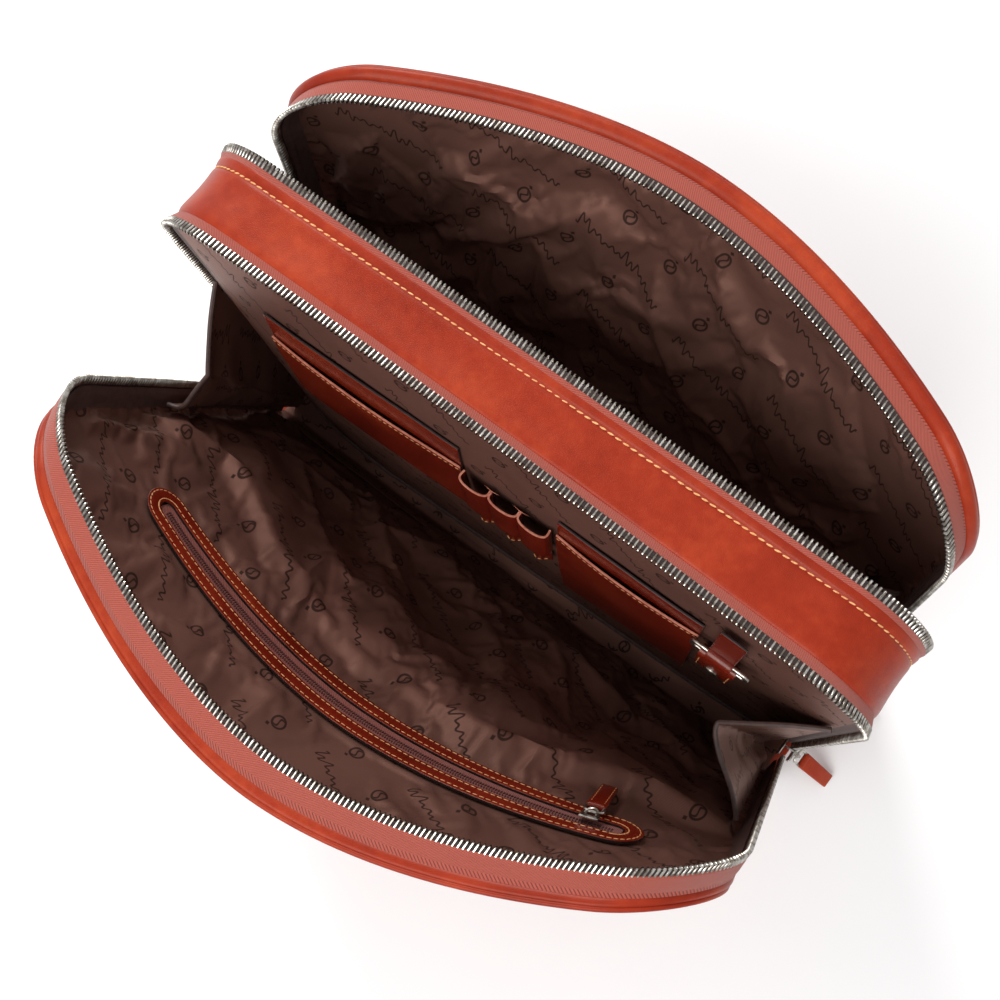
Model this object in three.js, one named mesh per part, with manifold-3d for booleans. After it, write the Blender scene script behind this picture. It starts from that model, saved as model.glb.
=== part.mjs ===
// Leather briefcase with two zipped compartments, standing open on its base.
// Millimetres, +X along the length, -Y towards the front compartment, +Z up, base on z = 0.
import * as THREE from 'three';
import { mergeVertices } from 'three/addons/utils/BufferGeometryUtils.js';
import Module from 'manifold-3d';

const wasm = await Module();
wasm.setup();

// ---- Driving sizes ---------------------------------------------------------------------------
const LENGTH = 400;              // along X, outside of the zip line
const HEIGHT = 298;              // floor to the zip line on top
const CORNER = 44;               // radius of the top corners
const MID_WIDTH = 49.2;          // middle section, from one zip line to the other
const DEPTH = 22;                // each outer compartment, from its zip line to its outer face
const ROW_GAP = 2;               // between the two rows of teeth where a zip is closed
const CLEAR = 0.4;               // gap kept between neighbouring pieces
const LAYER_CLEAR = 0.9;         // gap kept between curved sheets that lie on one another
const BASE_THICK = 3;
const BOARD_THICK = 2;
const LEATHER = 2;
const LINING = 1;
const TEETH_WIDTH = 4.2;
const TEETH_THICK = 3;
const TAPE_THICK = 1;
const COVER_TAPE = 11.4;         // width of the zip tape on a cover
const MID_TAPE = 4.6;            // width of the zip tape on the middle band
const ZIP_START = 14;            // height where the zips begin
const PIPING = 1.05;             // radius of the piping
const PIPING_ROOM = 1.5;         // between the band and the panel, where the piping lies
const GUSSET_TOP = 204;          // height of the fabric gussets
const GUSSET_FOLD = { left: 18, right: 34 };   // how far each gusset folds inwards
const GUSSET_EDGE = 8.2;         // of a gusset's edges from the outside of the zip line
const HINGE_HEIGHT = 4;          // of the covers' fold line above the floor
const SLIDER_PLAY = 2.1;         // between a slider's inner plate and the leaning teeth

// How each cover stands open: angle of its sides, belly of its top edge and twist along the length.
const FRONT = { side: -1, angle: THREE.MathUtils.degToRad(14), belly: 79, twist: 15, hand: -1 };
const REAR = { side: 1, angle: THREE.MathUtils.degToRad(3.7), belly: 64, twist: 9, hand: 1 };
const BELLY_ALONG = 1.85;        // power of the belly along the length
const BELLY_UP = 1.35;           // power of the belly up the height
const SHRINK = 0.06;             // shortening of the bellied top edge

// Inner pocket of the front cover, pockets and loops of the divider, handles.
const POCKET = { from: -147, to: 158, height: 224, width: 27, slot: 10 };
const CARD = { left: -138, right: -20, top: 250, front: 226, bottom: 150 };
const PHONE = { left: 37, right: 118, top: 246, front: 226, bottom: 92 };
const PENS = { left: -18, right: 34, top: 226, bottom: 186, loops: 3, depth: 6 };
const KEY = { x: 132, top: 262, strap: 14, ring: 15 };
const HANDLE = { spread: 95, height: 205, drop: 96, grip: 6, ring: 1.5 };
const PULL = { length: 27, width: 10, thick: 3.6, bail: 6.4, bailHalf: 4, wire: 0.8 };
const PULL_LEAN = THREE.MathUtils.degToRad(52);   // of the hanging pulls, away from straight down

const HINGE_Y = MID_WIDTH / 2 + ROW_GAP + DEPTH;
const COVER_HEIGHT = HEIGHT - HINGE_HEIGHT;
const HALF = LENGTH / 2;
const FLOOR = BASE_THICK + BOARD_THICK + 2 * CLEAR;

// ---- Materials -------------------------------------------------------------------------------
const paint = (color, roughness, metalness = 0) => ({ color, roughness, metalness });
const COGNAC = paint(0xa8452a, 0.42);
const GLOSSY = paint(0x6e1e10, 0.28);
const SATIN = paint(0x5a3d35, 0.55);
const TAPE = paint(0xb0563f, 0.8);
const NICKEL = paint(0xb9b4aa, 0.3, 1);
const BOARD = paint(0x2d2a28, 0.8);

// ---- Solids ----------------------------------------------------------------------------------
const v3 = (x, y, z) => new THREE.Vector3(x, y, z);

function closed(points, faces) {
  const geometry = new THREE.BufferGeometry();
  geometry.setAttribute('position', new THREE.Float32BufferAttribute(points.flatMap((p) => p.toArray()), 3));
  let volume = 0;
  for (const [a, b, c] of faces) volume += points[a].dot(points[b].clone().cross(points[c]));
  geometry.setIndex(faces.flatMap(([a, b, c]) => (volume < 0 ? [a, c, b] : [a, b, c])));
  return geometry;
}

// A sheet of even thickness on a grid of points; wrap joins its last row to the first.
function slab(rows, thick, wrap = false) {
  const count = rows.length;
  const width = rows[0].length;
  const at = (i, j) => rows[wrap ? (i + count) % count : THREE.MathUtils.clamp(i, 0, count - 1)][
    THREE.MathUtils.clamp(j, 0, width - 1)];
  const points = [];
  for (const half of [0.5, -0.5]) {
    for (let i = 0; i < count; i += 1) {
      for (let j = 0; j < width; j += 1) {
        const along = at(i + 1, j).clone().sub(at(i - 1, j));
        const across = at(i, j + 1).clone().sub(at(i, j - 1));
        const normal = along.cross(across).normalize();
        points.push(at(i, j).clone().addScaledVector(normal, half * thick));
      }
    }
  }
  const id = (i, j, layer) => layer * count * width + (i % count) * width + j;
  const faces = [];
  const quad = (a, b, c, d) => faces.push([a, b, c], [a, c, d]);
  const spans = wrap ? count : count - 1;
  for (let i = 0; i < spans; i += 1) {
    for (let j = 0; j < width - 1; j += 1) {
      quad(id(i, j, 0), id(i + 1, j, 0), id(i + 1, j + 1, 0), id(i, j + 1, 0));
      quad(id(i, j, 1), id(i, j + 1, 1), id(i + 1, j + 1, 1), id(i + 1, j, 1));
    }
    quad(id(i, 0, 0), id(i, 0, 1), id(i + 1, 0, 1), id(i + 1, 0, 0));
    quad(id(i, width - 1, 0), id(i + 1, width - 1, 0), id(i + 1, width - 1, 1), id(i, width - 1, 1));
  }
  if (!wrap) {
    for (let j = 0; j < width - 1; j += 1) {
      quad(id(0, j, 0), id(0, j + 1, 0), id(0, j + 1, 1), id(0, j, 1));
      quad(id(count - 1, j, 0), id(count - 1, j, 1), id(count - 1, j + 1, 1), id(count - 1, j + 1, 0));
    }
  }
  return closed(points, faces);
}

// A round wire along points; an open one has flat ends, a looped one joins up.
function wire(path, radius, looped = false, sides = 8) {
  const count = path.length;
  const at = (i) => path[looped ? (i + count) % count : THREE.MathUtils.clamp(i, 0, count - 1)];
  const points = [];
  let reference = v3(0.13, 0.97, 0.21);
  for (let i = 0; i < count; i += 1) {
    const along = at(i + 1).clone().sub(at(i - 1)).normalize();
    const first = reference.clone().cross(along).normalize();
    const second = along.clone().cross(first);
    if (!looped) reference = second;
    for (let k = 0; k < sides; k += 1) {
      const turn = (2 * Math.PI * k) / sides;
      points.push(at(i).clone().addScaledVector(first, radius * Math.cos(turn))
        .addScaledVector(second, radius * Math.sin(turn)));
    }
  }
  const faces = [];
  for (let i = 0; i < (looped ? count : count - 1); i += 1) {
    for (let k = 0; k < sides; k += 1) {
      const a = i * sides + k;
      const b = i * sides + ((k + 1) % sides);
      const c = ((i + 1) % count) * sides + k;
      const d = ((i + 1) % count) * sides + ((k + 1) % sides);
      faces.push([a, c, d], [a, d, b]);
    }
  }
  if (!looped) {
    const last = (count - 1) * sides;
    for (let k = 1; k < sides - 1; k += 1) {
      faces.push([0, k, k + 1], [last, last + k + 1, last + k]);
    }
  }
  return closed(points, faces);
}

function toSolid(geometry) {
  const bare = geometry.clone();
  bare.deleteAttribute('normal');
  bare.deleteAttribute('uv');
  const merged = mergeVertices(bare, 1e-4);
  return new wasm.Manifold(new wasm.Mesh({
    numProp: 3,
    vertProperties: new Float32Array(merged.attributes.position.array),
    triVerts: new Uint32Array(merged.index.array),
  }));
}

function toGeometry(solid) {
  const mesh = solid.getMesh();
  const geometry = new THREE.BufferGeometry();
  geometry.setAttribute('position', new THREE.BufferAttribute(new Float32Array(mesh.vertProperties), 3));
  geometry.setIndex(new THREE.BufferAttribute(new Uint32Array(mesh.triVerts), 1));
  return geometry;
}

const join = (...pieces) => toGeometry(pieces.map(toSolid).reduce((a, b) => a.add(b)));
const cut = (piece, tool) => toGeometry(toSolid(piece).subtract(toSolid(tool)));

// A box given by its lowest and highest corner.
function block(low, high) {
  const geometry = new THREE.BoxGeometry(high.x - low.x, high.y - low.y, high.z - low.z);
  return geometry.translate((low.x + high.x) / 2, (low.y + high.y) / 2, (low.z + high.z) / 2);
}

// ---- The outline and the two ways of placing it -----------------------------------------------
// Points of an upturned U with round corners, in the plane of the bag's large faces.
function arch(inset, bottom, top) {
  const half = HALF - inset;
  const radius = CORNER - inset;
  const crown = top - inset;
  const sides = 5;
  const turns = 5;
  const across = 14;
  const points = [];
  for (let i = 0; i < sides; i += 1) {
    points.push([-half, bottom + ((crown - radius - bottom) * i) / sides]);
  }
  for (let i = 0; i < turns; i += 1) {
    const turn = Math.PI - (Math.PI / 2) * (i / turns);
    points.push([-half + radius + radius * Math.cos(turn), crown - radius + radius * Math.sin(turn)]);
  }
  for (let i = 0; i <= across / 2; i += 1) {
    points.push([(-half + radius) * (1 - i / (across / 2)), crown]);
  }
  const mirrored = points.slice(0, -1).reverse().map(([x, z]) => [-x, z]);
  return points.concat(mirrored);
}

// Half the width of the arch at a height, for plates that fill it.
function reach(inset, height, top) {
  const radius = CORNER - inset;
  const over = Math.max(0, height - (top - inset - radius));
  return HALF - inset - radius + Math.sqrt(Math.max(0, radius * radius - over * over));
}

const onMiddle = (x, y, z) => v3(x, y, z);

// Along, up and outwards from the zip line of an open cover.
function onCover(cover, along, up, out) {
  const rise = Math.max(0, up) / COVER_HEIGHT;
  const belly = cover.belly * (1 - Math.min(1, Math.abs(along) / HALF) ** BELLY_ALONG);
  const twist = (cover.twist * (1 + (cover.hand * along) / HALF)) / 2;
  const depth = out - DEPTH + (belly + twist) * rise ** BELLY_UP;
  const lean = [Math.sin(cover.angle), Math.cos(cover.angle)];
  return v3(
    along * (1 - SHRINK * rise),
    cover.side * (HINGE_Y + lean[0] * up + lean[1] * depth),
    HINGE_HEIGHT + lean[1] * up - lean[0] * depth,
  );
}

// A strip that follows the arch: inset is its middle, from and to its edges across the strip.
function strip(place, inset, thick, bottom, top, from, to, spans = 1) {
  const rows = arch(inset, bottom, top).map(([x, z]) => {
    const row = [];
    for (let j = 0; j <= spans; j += 1) row.push(place(x, from + ((to - from) * j) / spans, z));
    return row;
  });
  return slab(rows, thick);
}

// A plate that fills the arch, with so many columns of points to either side of its middle.
function plate(place, inset, thick, bottom, top, columns = 8) {
  const levels = [];
  const crown = top - inset;
  const straight = crown - (CORNER - inset);
  for (let i = 0; i < 5; i += 1) levels.push(bottom + ((straight - bottom) * i) / 5);
  for (let i = 0; i <= 4; i += 1) {
    levels.push(straight + (crown - straight) * Math.sin((Math.PI / 2) * (i / 4)));
  }
  const rows = levels.map((z) => {
    const half = reach(inset, z, top);
    const row = [];
    for (let j = -columns; j <= columns; j += 1) {
      // Columns lie closer together towards the edges, where the surfaces turn most.
      const share = j / columns;
      row.push(place(half * 0.5 * (share + Math.sin((Math.PI / 2) * share)), z));
    }
    return row;
  });
  return slab(rows, thick);
}

// A rectangle of points placed by a function of its two directions.
function patch(place, left, right, low, high, thick, columns = 4, lines = 4) {
  const rows = [];
  for (let i = 0; i <= lines; i += 1) {
    const row = [];
    for (let j = 0; j <= columns; j += 1) {
      row.push(place(left + ((right - left) * j) / columns, low + ((high - low) * i) / lines));
    }
    rows.push(row);
  }
  return slab(rows, thick);
}

// ---- Assembly --------------------------------------------------------------------------------
const bag = new THREE.Group();

function add(name, geometry, look) {
  const mesh = new THREE.Mesh(geometry, new THREE.MeshStandardMaterial(look));
  mesh.name = name;
  bag.add(mesh);
}

// Insets of the pieces behind one another, from the outside of the bag inwards.
const TAPE_INSET = TEETH_THICK / 2 + CLEAR;
const FACING_INSET = 4.4;
const SLIDER_REACH = 7;          // of a slider's plates to either side of its row of teeth
const MID_ZIP = MID_WIDTH / 2;
const MID_LEATHER = MID_ZIP - TEETH_WIDTH - MID_TAPE - 2 * CLEAR;
const BAND_INSET = 2.2;          // the middle leather lies a little below the zip line
const BAND_LAP = 2;              // of a cover's leather over its zip tape

// ---- Middle section: base, band, zips and divider ----------------------------------------------
add('base_panel', block(v3(-HALF, -HINGE_Y, 0), v3(HALF, HINGE_Y, BASE_THICK)), COGNAC);
add('base_board', block(
  v3(-HALF + 12, -HINGE_Y + 5, BASE_THICK + CLEAR),
  v3(HALF - 12, HINGE_Y - 5, BASE_THICK + CLEAR + BOARD_THICK),
), BOARD);
add('middle_band', strip(
  onMiddle, BAND_INSET, LEATHER, BASE_THICK + CLEAR, HEIGHT, -MID_LEATHER, MID_LEATHER,
), COGNAC);

for (const [name, side] of [['front', -1], ['rear', 1]]) {
  const place = (x, y, z) => onMiddle(x, side * y, z);
  const teeth = MID_ZIP - TEETH_WIDTH;
  add(`middle_${name}_zip_teeth`, strip(
    place, TAPE_INSET, TEETH_THICK, ZIP_START, HEIGHT, teeth, MID_ZIP,
  ), NICKEL);
  add(`middle_${name}_zip_tape`, strip(
    place, TAPE_INSET, TAPE_THICK, ZIP_START, HEIGHT, teeth - CLEAR - MID_TAPE, teeth - CLEAR,
  ), TAPE);
}
add('middle_lining', strip(
  onMiddle, FACING_INSET, LINING, FLOOR + LINING + CLEAR, HEIGHT,
  SLIDER_REACH - MID_ZIP, MID_ZIP - SLIDER_REACH,
), SATIN);

// The divider's front lining hangs from the zip line and slopes forwards at the bottom.
const DIVIDER_INSET = FACING_INSET + 3;
const WALL_STAND = 4.1;          // of the lining's top edge behind the zip line
const WALL_SAG = { middle: 9, left: 12.5, slope: 0.03 };
function wall(x, z, stand = 0) {
  const ends = 1 - (Math.abs(x) / (HALF - DIVIDER_INSET + 0.4)) ** 8;
  const sag = Math.min(WALL_SAG.left, WALL_SAG.middle - WALL_SAG.slope * x) * (1 - (z / HEIGHT) ** 4) * ends;
  return v3(x, -(MID_ZIP - WALL_STAND + sag + stand), z);
}
add('divider_front_lining', plate(
  (x, z) => wall(x, z), DIVIDER_INSET, LINING, FLOOR + 2, HEIGHT,
), SATIN);
const DIVIDER_BOARD = 5;
const BOARD_PLACE = MID_ZIP - WALL_STAND - DIVIDER_BOARD / 2 - 2;
const REAR_PLACE = BOARD_PLACE - DIVIDER_BOARD / 2 - LINING / 2 - 0.6;
add('divider_board', plate(
  (x, z) => v3(x, -BOARD_PLACE, z), DIVIDER_INSET + 2, DIVIDER_BOARD, FLOOR + 2, HEIGHT, 1,
), BOARD);
add('divider_rear_lining', plate(
  (x, z) => v3(x, -REAR_PLACE, z), DIVIDER_INSET, LINING, FLOOR + 2, HEIGHT, 1,
), SATIN);

add('floor_lining', block(
  v3(-HALF + 9, -HINGE_Y + 5, FLOOR),
  v3(HALF - 9, HINGE_Y - 5, FLOOR + LINING),
), SATIN);

// ---- Organiser on the divider ------------------------------------------------------------------
const SHEET = 1.2;
function organiser(name, box, top, stand) {
  const base = (x, z) => wall(x, z, stand);
  add(name, patch(base, box.left, box.right, box.bottom, top, SHEET, 6, 5), GLOSSY);
}
const FIRST = LINING / 2 + LAYER_CLEAR + SHEET / 2;
const SECOND = FIRST + SHEET + CLEAR;
organiser('card_pocket_back', CARD, CARD.top, FIRST);
organiser('card_pocket_front', CARD, CARD.front, SECOND);
organiser('phone_pocket_back', PHONE, PHONE.top, FIRST);
organiser('phone_pocket_front', PHONE, PHONE.front, SECOND);

const penWave = (x) => Math.abs(
  Math.sin((Math.PI * PENS.loops * (x - PENS.left)) / (PENS.right - PENS.left)),
);
add('pen_loop_strip', patch(
  (x, z) => wall(x, z, FIRST + 0.6 + PENS.depth * penWave(x)),
  PENS.left, PENS.right, PENS.bottom, PENS.top, SHEET, 30, 1,
), GLOSSY);
const penPitch = (PENS.right - PENS.left) / PENS.loops;
for (let i = 0; i < PENS.loops; i += 1) {
  const middle = PENS.left + penPitch * (i + 0.5);
  add(`pen_foot_${i + 1}`, patch(
    (x, z) => wall(x, z, FIRST + 0.4 + 4 * Math.cos((Math.PI * (x - middle)) / penPitch) ** 2),
    middle - penPitch * 0.42, middle + penPitch * 0.42, PENS.bottom - 32, PENS.bottom - 16, SHEET, 8, 1,
  ), GLOSSY);
}

// ---- Key holder: a strap on the divider, a ring through it and a tab on the ring -----------------
const KEY_STAND = 7;
const keyRing = wall(KEY.x, KEY.top - 34, KEY_STAND);
const RING_WIRE = 1.2;
{
  const outer = new THREE.Shape();
  outer.absarc(0, 0, RING_WIRE + 2.2, -Math.PI / 2, Math.PI / 2, false);
  outer.lineTo(-4.6, RING_WIRE + 2.2);
  outer.lineTo(-4.6, -(RING_WIRE + 2.2));
  const eye = new THREE.Path();
  eye.absarc(0, 0, RING_WIRE + 0.7, 0, 2 * Math.PI, true);
  outer.holes.push(eye);
  const loop = new THREE.ExtrudeGeometry(
    outer, { depth: KEY.strap, bevelEnabled: false, curveSegments: 10 },
  );
  // The loop lies along X, its flat back towards the divider.
  loop.applyMatrix4(new THREE.Matrix4().makeBasis(v3(0, -1, 0), v3(0, 0, 1), v3(-1, 0, 0)));
  loop.translate(keyRing.x + KEY.strap / 2, keyRing.y, keyRing.z);
  const tail = patch(
    (x, z) => wall(x, z, KEY_STAND - 3.2 - 1.2 * ((z - keyRing.z) / (KEY.top + 10 - keyRing.z))),
    KEY.x - KEY.strap / 2, KEY.x + KEY.strap / 2, keyRing.z, KEY.top + 10, 2.4, 2, 4,
  );
  add('key_strap_loop', join(loop, tail), GLOSSY);
}

// A rectangular wire ring with round corners: its upper bar passes through centre.
function barRing(centre, across, down, half, drop, corner, radius) {
  const path = [];
  const corners = [[half, 0], [half, drop], [-half, drop], [-half, 0]];
  const inward = [[-1, 1], [-1, -1], [1, -1], [1, 1]];
  corners.forEach(([a, d], k) => {
    for (let i = 0; i <= 2; i += 1) {
      const turn = -Math.PI / 2 + (Math.PI / 2) * (k + i / 2);
      path.push([a + inward[k][0] * corner + corner * Math.cos(turn),
        d + inward[k][1] * corner + corner * Math.sin(turn)]);
    }
  });
  return wire(path.map(([a, d]) => centre.clone().addScaledVector(across, a).addScaledVector(down, d)),
    radius, true, 6);
}
const DOWN = v3(0, 0, -1);
add('key_ring', barRing(keyRing, v3(1, 0, 0), DOWN, KEY.ring, 11, 2.5, RING_WIRE), NICKEL);
{
  const bar = keyRing.clone().add(v3(0, 0, -11));
  const outer = new THREE.Shape();
  const wrap = RING_WIRE + 2.2;
  outer.absarc(0, 0, wrap, 0, Math.PI, false);
  outer.lineTo(-wrap, -34);
  outer.lineTo(wrap, -34);
  const eye = new THREE.Path();
  eye.absarc(0, 0, RING_WIRE + 0.6, 0, 2 * Math.PI, true);
  outer.holes.push(eye);
  const tab = new THREE.ExtrudeGeometry(outer, { depth: 20, bevelEnabled: false, curveSegments: 10 });
  tab.applyMatrix4(new THREE.Matrix4().makeBasis(v3(0, 1, 0), v3(0, 0, 1), v3(1, 0, 0)));
  tab.translate(bar.x - 10, bar.y, bar.z);
  const stud = new THREE.CylinderGeometry(4, 4, 1.6, 16);
  stud.translate(bar.x, bar.y - wrap - 0.4, bar.z - 24);
  add('key_tab', join(tab, stud), GLOSSY);
}

// ---- Covers ------------------------------------------------------------------------------------
function unit(vector) {
  return vector.clone().normalize();
}

// Handle: a chape on each side, a bar ring in each chape and a grip that hangs between the rings.
function handle(label, cover) {
  const proud = DEPTH + LAYER_CLEAR + 1.6;
  const eyes = [-1, 1].map((hand) => onCover(cover, hand * HANDLE.spread, HANDLE.height - 18, proud + 6));
  const across = unit(eyes[1].clone().sub(eyes[0]));
  const wrap = HANDLE.ring + 2.4;
  const hole = HANDLE.ring + 0.9;
  const barrel = 14;
  const ringDrop = 15;
  const fall = unit(DOWN.clone().addScaledVector(across, across.z));
  const rod = (centre, radius, length) => {
    const ends = [-0.5, 0.5].map((k) => centre.clone().addScaledVector(across, k * length));
    return wire([ends[0], centre, ends[1]], radius, false, 12);
  };
  const parts = eyes.map((eye, k) => {
    const hand = k === 0 ? -1 : 1;
    const inner = hand * HANDLE.spread - barrel / 2;
    const tongue = patch(
      (u, v) => onCover(cover, u, v, proud + 3.4 * Math.max(0, 1 - (v - HANDLE.height + 18) / 16)),
      inner, inner + barrel, HANDLE.height - 17, HANDLE.height + 34, 2.6, 3, 8,
    );
    add(`${label}_handle_chape_${hand < 0 ? 'left' : 'right'}`,
      cut(join(tongue, rod(eye, wrap, barrel)), rod(eye, hole, barrel + 8)), COGNAC);
    const ring = barRing(eye, across, fall, 12, ringDrop, 3, HANDLE.ring);
    const lower = eye.clone().addScaledVector(fall, ringDrop);
    const socket = cut(rod(lower, wrap, 12), rod(lower, hole, 14));
    return { ring, socket, lower, hand };
  });
  const path = [];
  const steps = 14;
  for (let i = 0; i <= steps; i += 1) {
    const turn = Math.PI * (i / steps);
    const along = -Math.sign(Math.cos(turn)) * HANDLE.spread * Math.abs(Math.cos(turn)) ** 0.6;
    const sink = (HANDLE.drop - ringDrop) * Math.sin(turn) ** 0.8;
    const centre = eyes[0].clone().lerp(eyes[1], 0.5).addScaledVector(fall, ringDrop + wrap + sink);
    path.push(centre.addScaledVector(across, along));
  }
  const grip = wire(path, HANDLE.grip, false, 8);
  parts.forEach(({ ring, hand }) => {
    add(`${label}_handle_ring_${hand < 0 ? 'left' : 'right'}`, ring, NICKEL);
  });
  const clearance = parts.map(({ lower }) => toSolid(rod(lower, hole, 40)));
  let solid = [toSolid(grip), ...parts.map(({ socket }) => toSolid(socket))].reduce((a, b) => a.add(b));
  for (const space of clearance) solid = solid.subtract(space);
  add(`${label}_handle`, toGeometry(solid), COGNAC);
}

const LINING_DEPTH = DEPTH - LEATHER - 3.5;
for (const [label, cover] of [['front', FRONT], ['rear', REAR]]) {
  const place = (x, w, z) => onCover(cover, x, z, w);
  const face = (w) => (x, z) => onCover(cover, x, z, w);
  const bottom = ZIP_START - HINGE_HEIGHT;
  const leather = TEETH_WIDTH + COVER_TAPE - BAND_LAP;
  add(`${label}_cover_panel`, plate(
    face(DEPTH - LEATHER / 2), 1.2, LEATHER, 0.6, COVER_HEIGHT,
  ), COGNAC);
  add(`${label}_cover_band`, strip(
    place, -CLEAR, LEATHER, 3, COVER_HEIGHT, leather, DEPTH - LEATHER - CLEAR - PIPING_ROOM,
  ), COGNAC);
  add(`${label}_cover_piping`, wire(
    arch(-0.2, 3, COVER_HEIGHT).map(([x, z]) => onCover(cover, x, z, DEPTH - LEATHER)),
    PIPING, false, 5,
  ), COGNAC);
  add(`${label}_zip_teeth`, strip(
    place, TAPE_INSET, TEETH_THICK, bottom, COVER_HEIGHT, 0, TEETH_WIDTH,
  ), NICKEL);
  add(`${label}_zip_tape`, strip(
    place, TAPE_INSET, TAPE_THICK, bottom, COVER_HEIGHT, TEETH_WIDTH + CLEAR, TEETH_WIDTH + COVER_TAPE,
  ), TAPE);
  add(`${label}_cover_facing`, strip(
    place, FACING_INSET, LINING, 6, COVER_HEIGHT, SLIDER_REACH + 2, LINING_DEPTH - 1,
  ), SATIN);
  add(`${label}_cover_lining`, plate(
    face(LINING_DEPTH), FACING_INSET + 0.4, LINING, 5, COVER_HEIGHT,
  ), SATIN);

  handle(label, cover);

  for (const [end, hand] of [['left', -1], ['right', 1]]) {
    const edge = HALF - GUSSET_EDGE;
    const rows = [];
    for (let i = 0; i <= 7; i += 1) {
      const h = FLOOR + 6 + ((GUSSET_TOP - FLOOR - 6) * i) / 7;
      const inner = v3(hand * edge, cover.side * (MID_ZIP - 1.8), h);
      const outer = onCover(cover, hand * edge, h - HINGE_HEIGHT - 0.12 * h, 9);
      const fold = inner.clone().add(outer).multiplyScalar(0.5);
      fold.x = hand * (edge - GUSSET_FOLD[end] * (0.25 + 0.75 * (h / GUSSET_TOP)));
      rows.push([inner, inner.clone().lerp(fold, 0.5), fold, fold.clone().lerp(outer, 0.5), outer]);
    }
    add(`${label}_gusset_${end}`, slab(rows, LINING), SATIN);
  }
}

// ---- Welt pocket inside the front cover ----------------------------------------------------------
// Points of a long slot with round ends, around the pocket's middle line.
function stadium(width, inset) {
  const radius = width / 2;
  const points = [];
  for (const [centre, first] of [[POCKET.to - POCKET.width / 2, -1], [POCKET.from + POCKET.width / 2, 1]]) {
    for (let i = 0; i <= 6; i += 1) {
      const turn = (first * Math.PI) / 2 + (Math.PI * i) / 6;
      points.push([centre + radius * Math.cos(turn), POCKET.height + radius * Math.sin(turn)]);
    }
    const next = centre > 0 ? [POCKET.from, 1] : [POCKET.to, -1];
    for (let i = 1; i < 10; i += 1) {
      const end = next[0] + (next[1] * POCKET.width) / 2;
      points.push([centre + ((end - centre) * i) / 10, POCKET.height + next[1] * radius]);
    }
  }
  return points.map(([u, v]) => onCover(FRONT, u, v, inset));
}
const FRAME_DEPTH = LINING_DEPTH - LINING / 2 - LAYER_CLEAR - LEATHER / 2;
{
  const outer = stadium(POCKET.width, FRAME_DEPTH);
  const inner = stadium(POCKET.slot, FRAME_DEPTH);
  const rows = outer.map((p, i) => [p, p.clone().lerp(inner[i], 0.5), inner[i]]);
  add('pocket_frame', slab(rows, LEATHER, true), GLOSSY);
}
const SLOT_HALF = POCKET.slot / 2 - CLEAR;
const pocketEnd = POCKET.width / 2;
const pocketStrip = (half, depth, thick, columns = 16) => patch(
  (u, v) => onCover(FRONT, u, v, depth),
  POCKET.from + pocketEnd, POCKET.to - pocketEnd,
  POCKET.height - half, POCKET.height + half, thick, columns, 1,
);
const POCKET_TAPE = FRAME_DEPTH + 0.3;
const COIL_THICK = 1.8;
const COIL_DEPTH = POCKET_TAPE - TAPE_THICK / 2 - 0.6;
add('pocket_zip', join(
  pocketStrip(SLOT_HALF, POCKET_TAPE, TAPE_THICK),
  pocketStrip(1.6, COIL_DEPTH, COIL_THICK),
), TAPE);
add('pocket_bag', patch(
  (u, v) => onCover(FRONT, u, v, (LINING_DEPTH + LINING / 2 + DEPTH - LEATHER) / 2),
  POCKET.from + 6, POCKET.to - 6, POCKET.height - 130, POCKET.height - 4, 0.8, 16, 5,
), SATIN);

// ---- Sliders and their pulls ----------------------------------------------------------------------
// A slider straddles a row of teeth: two plates and, between the rows, a post that joins them.
function zipSlider(side) {
  const x = HALF;
  const y = side * (MID_ZIP + ROW_GAP / 2);
  const z = ZIP_START + 9;
  const half = SLIDER_REACH - 0.6;
  const low = z - 6;
  const high = z + 6;
  const insideFace = x - TAPE_INSET - TEETH_THICK / 2 - CLEAR - SLIDER_PLAY;
  const outsideFace = x - TAPE_INSET + TEETH_THICK / 2 + CLEAR;
  const inside = block(v3(insideFace - 1, y - half, low), v3(insideFace, y + half, high));
  const outside = block(v3(outsideFace, y - half, low), v3(outsideFace + 1.6, y + half, high));
  const post = block(v3(insideFace - 0.6, y - 0.6, high - 4), v3(outsideFace + 0.8, y + 0.6, high));
  const eye = v3(outsideFace + 1.6 + 2.2, y, z);
  const bridge = new THREE.Shape();
  bridge.absarc(0, 0, 2.4, 0, 2 * Math.PI, false);
  const hole = new THREE.Path();
  hole.absarc(0, 0, 1.3, 0, 2 * Math.PI, true);
  bridge.holes.push(hole);
  const lug = new THREE.ExtrudeGeometry(bridge, { depth: 3, bevelEnabled: false, curveSegments: 12 });
  lug.rotateX(Math.PI / 2).translate(eye.x, y + 1.5, z);
  return { slider: join(inside, outside, post, lug), eye };
}

// A wire bail through the eye and a leather tab on it, along a direction from the eye.
function pull(eye, axis, along) {
  const bail = barRing(eye, axis, along, PULL.bailHalf, PULL.bail, 1.2, PULL.wire);
  const start = eye.clone().addScaledVector(along, PULL.bail);
  const tab = new THREE.BoxGeometry(PULL.width, PULL.length, PULL.thick);
  tab.applyMatrix4(new THREE.Matrix4().makeBasis(axis, along, unit(axis.clone().cross(along))));
  const middle = start.clone().addScaledVector(along, PULL.length / 2 - 2);
  tab.translate(middle.x, middle.y, middle.z);
  return join(bail, tab);
}

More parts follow.
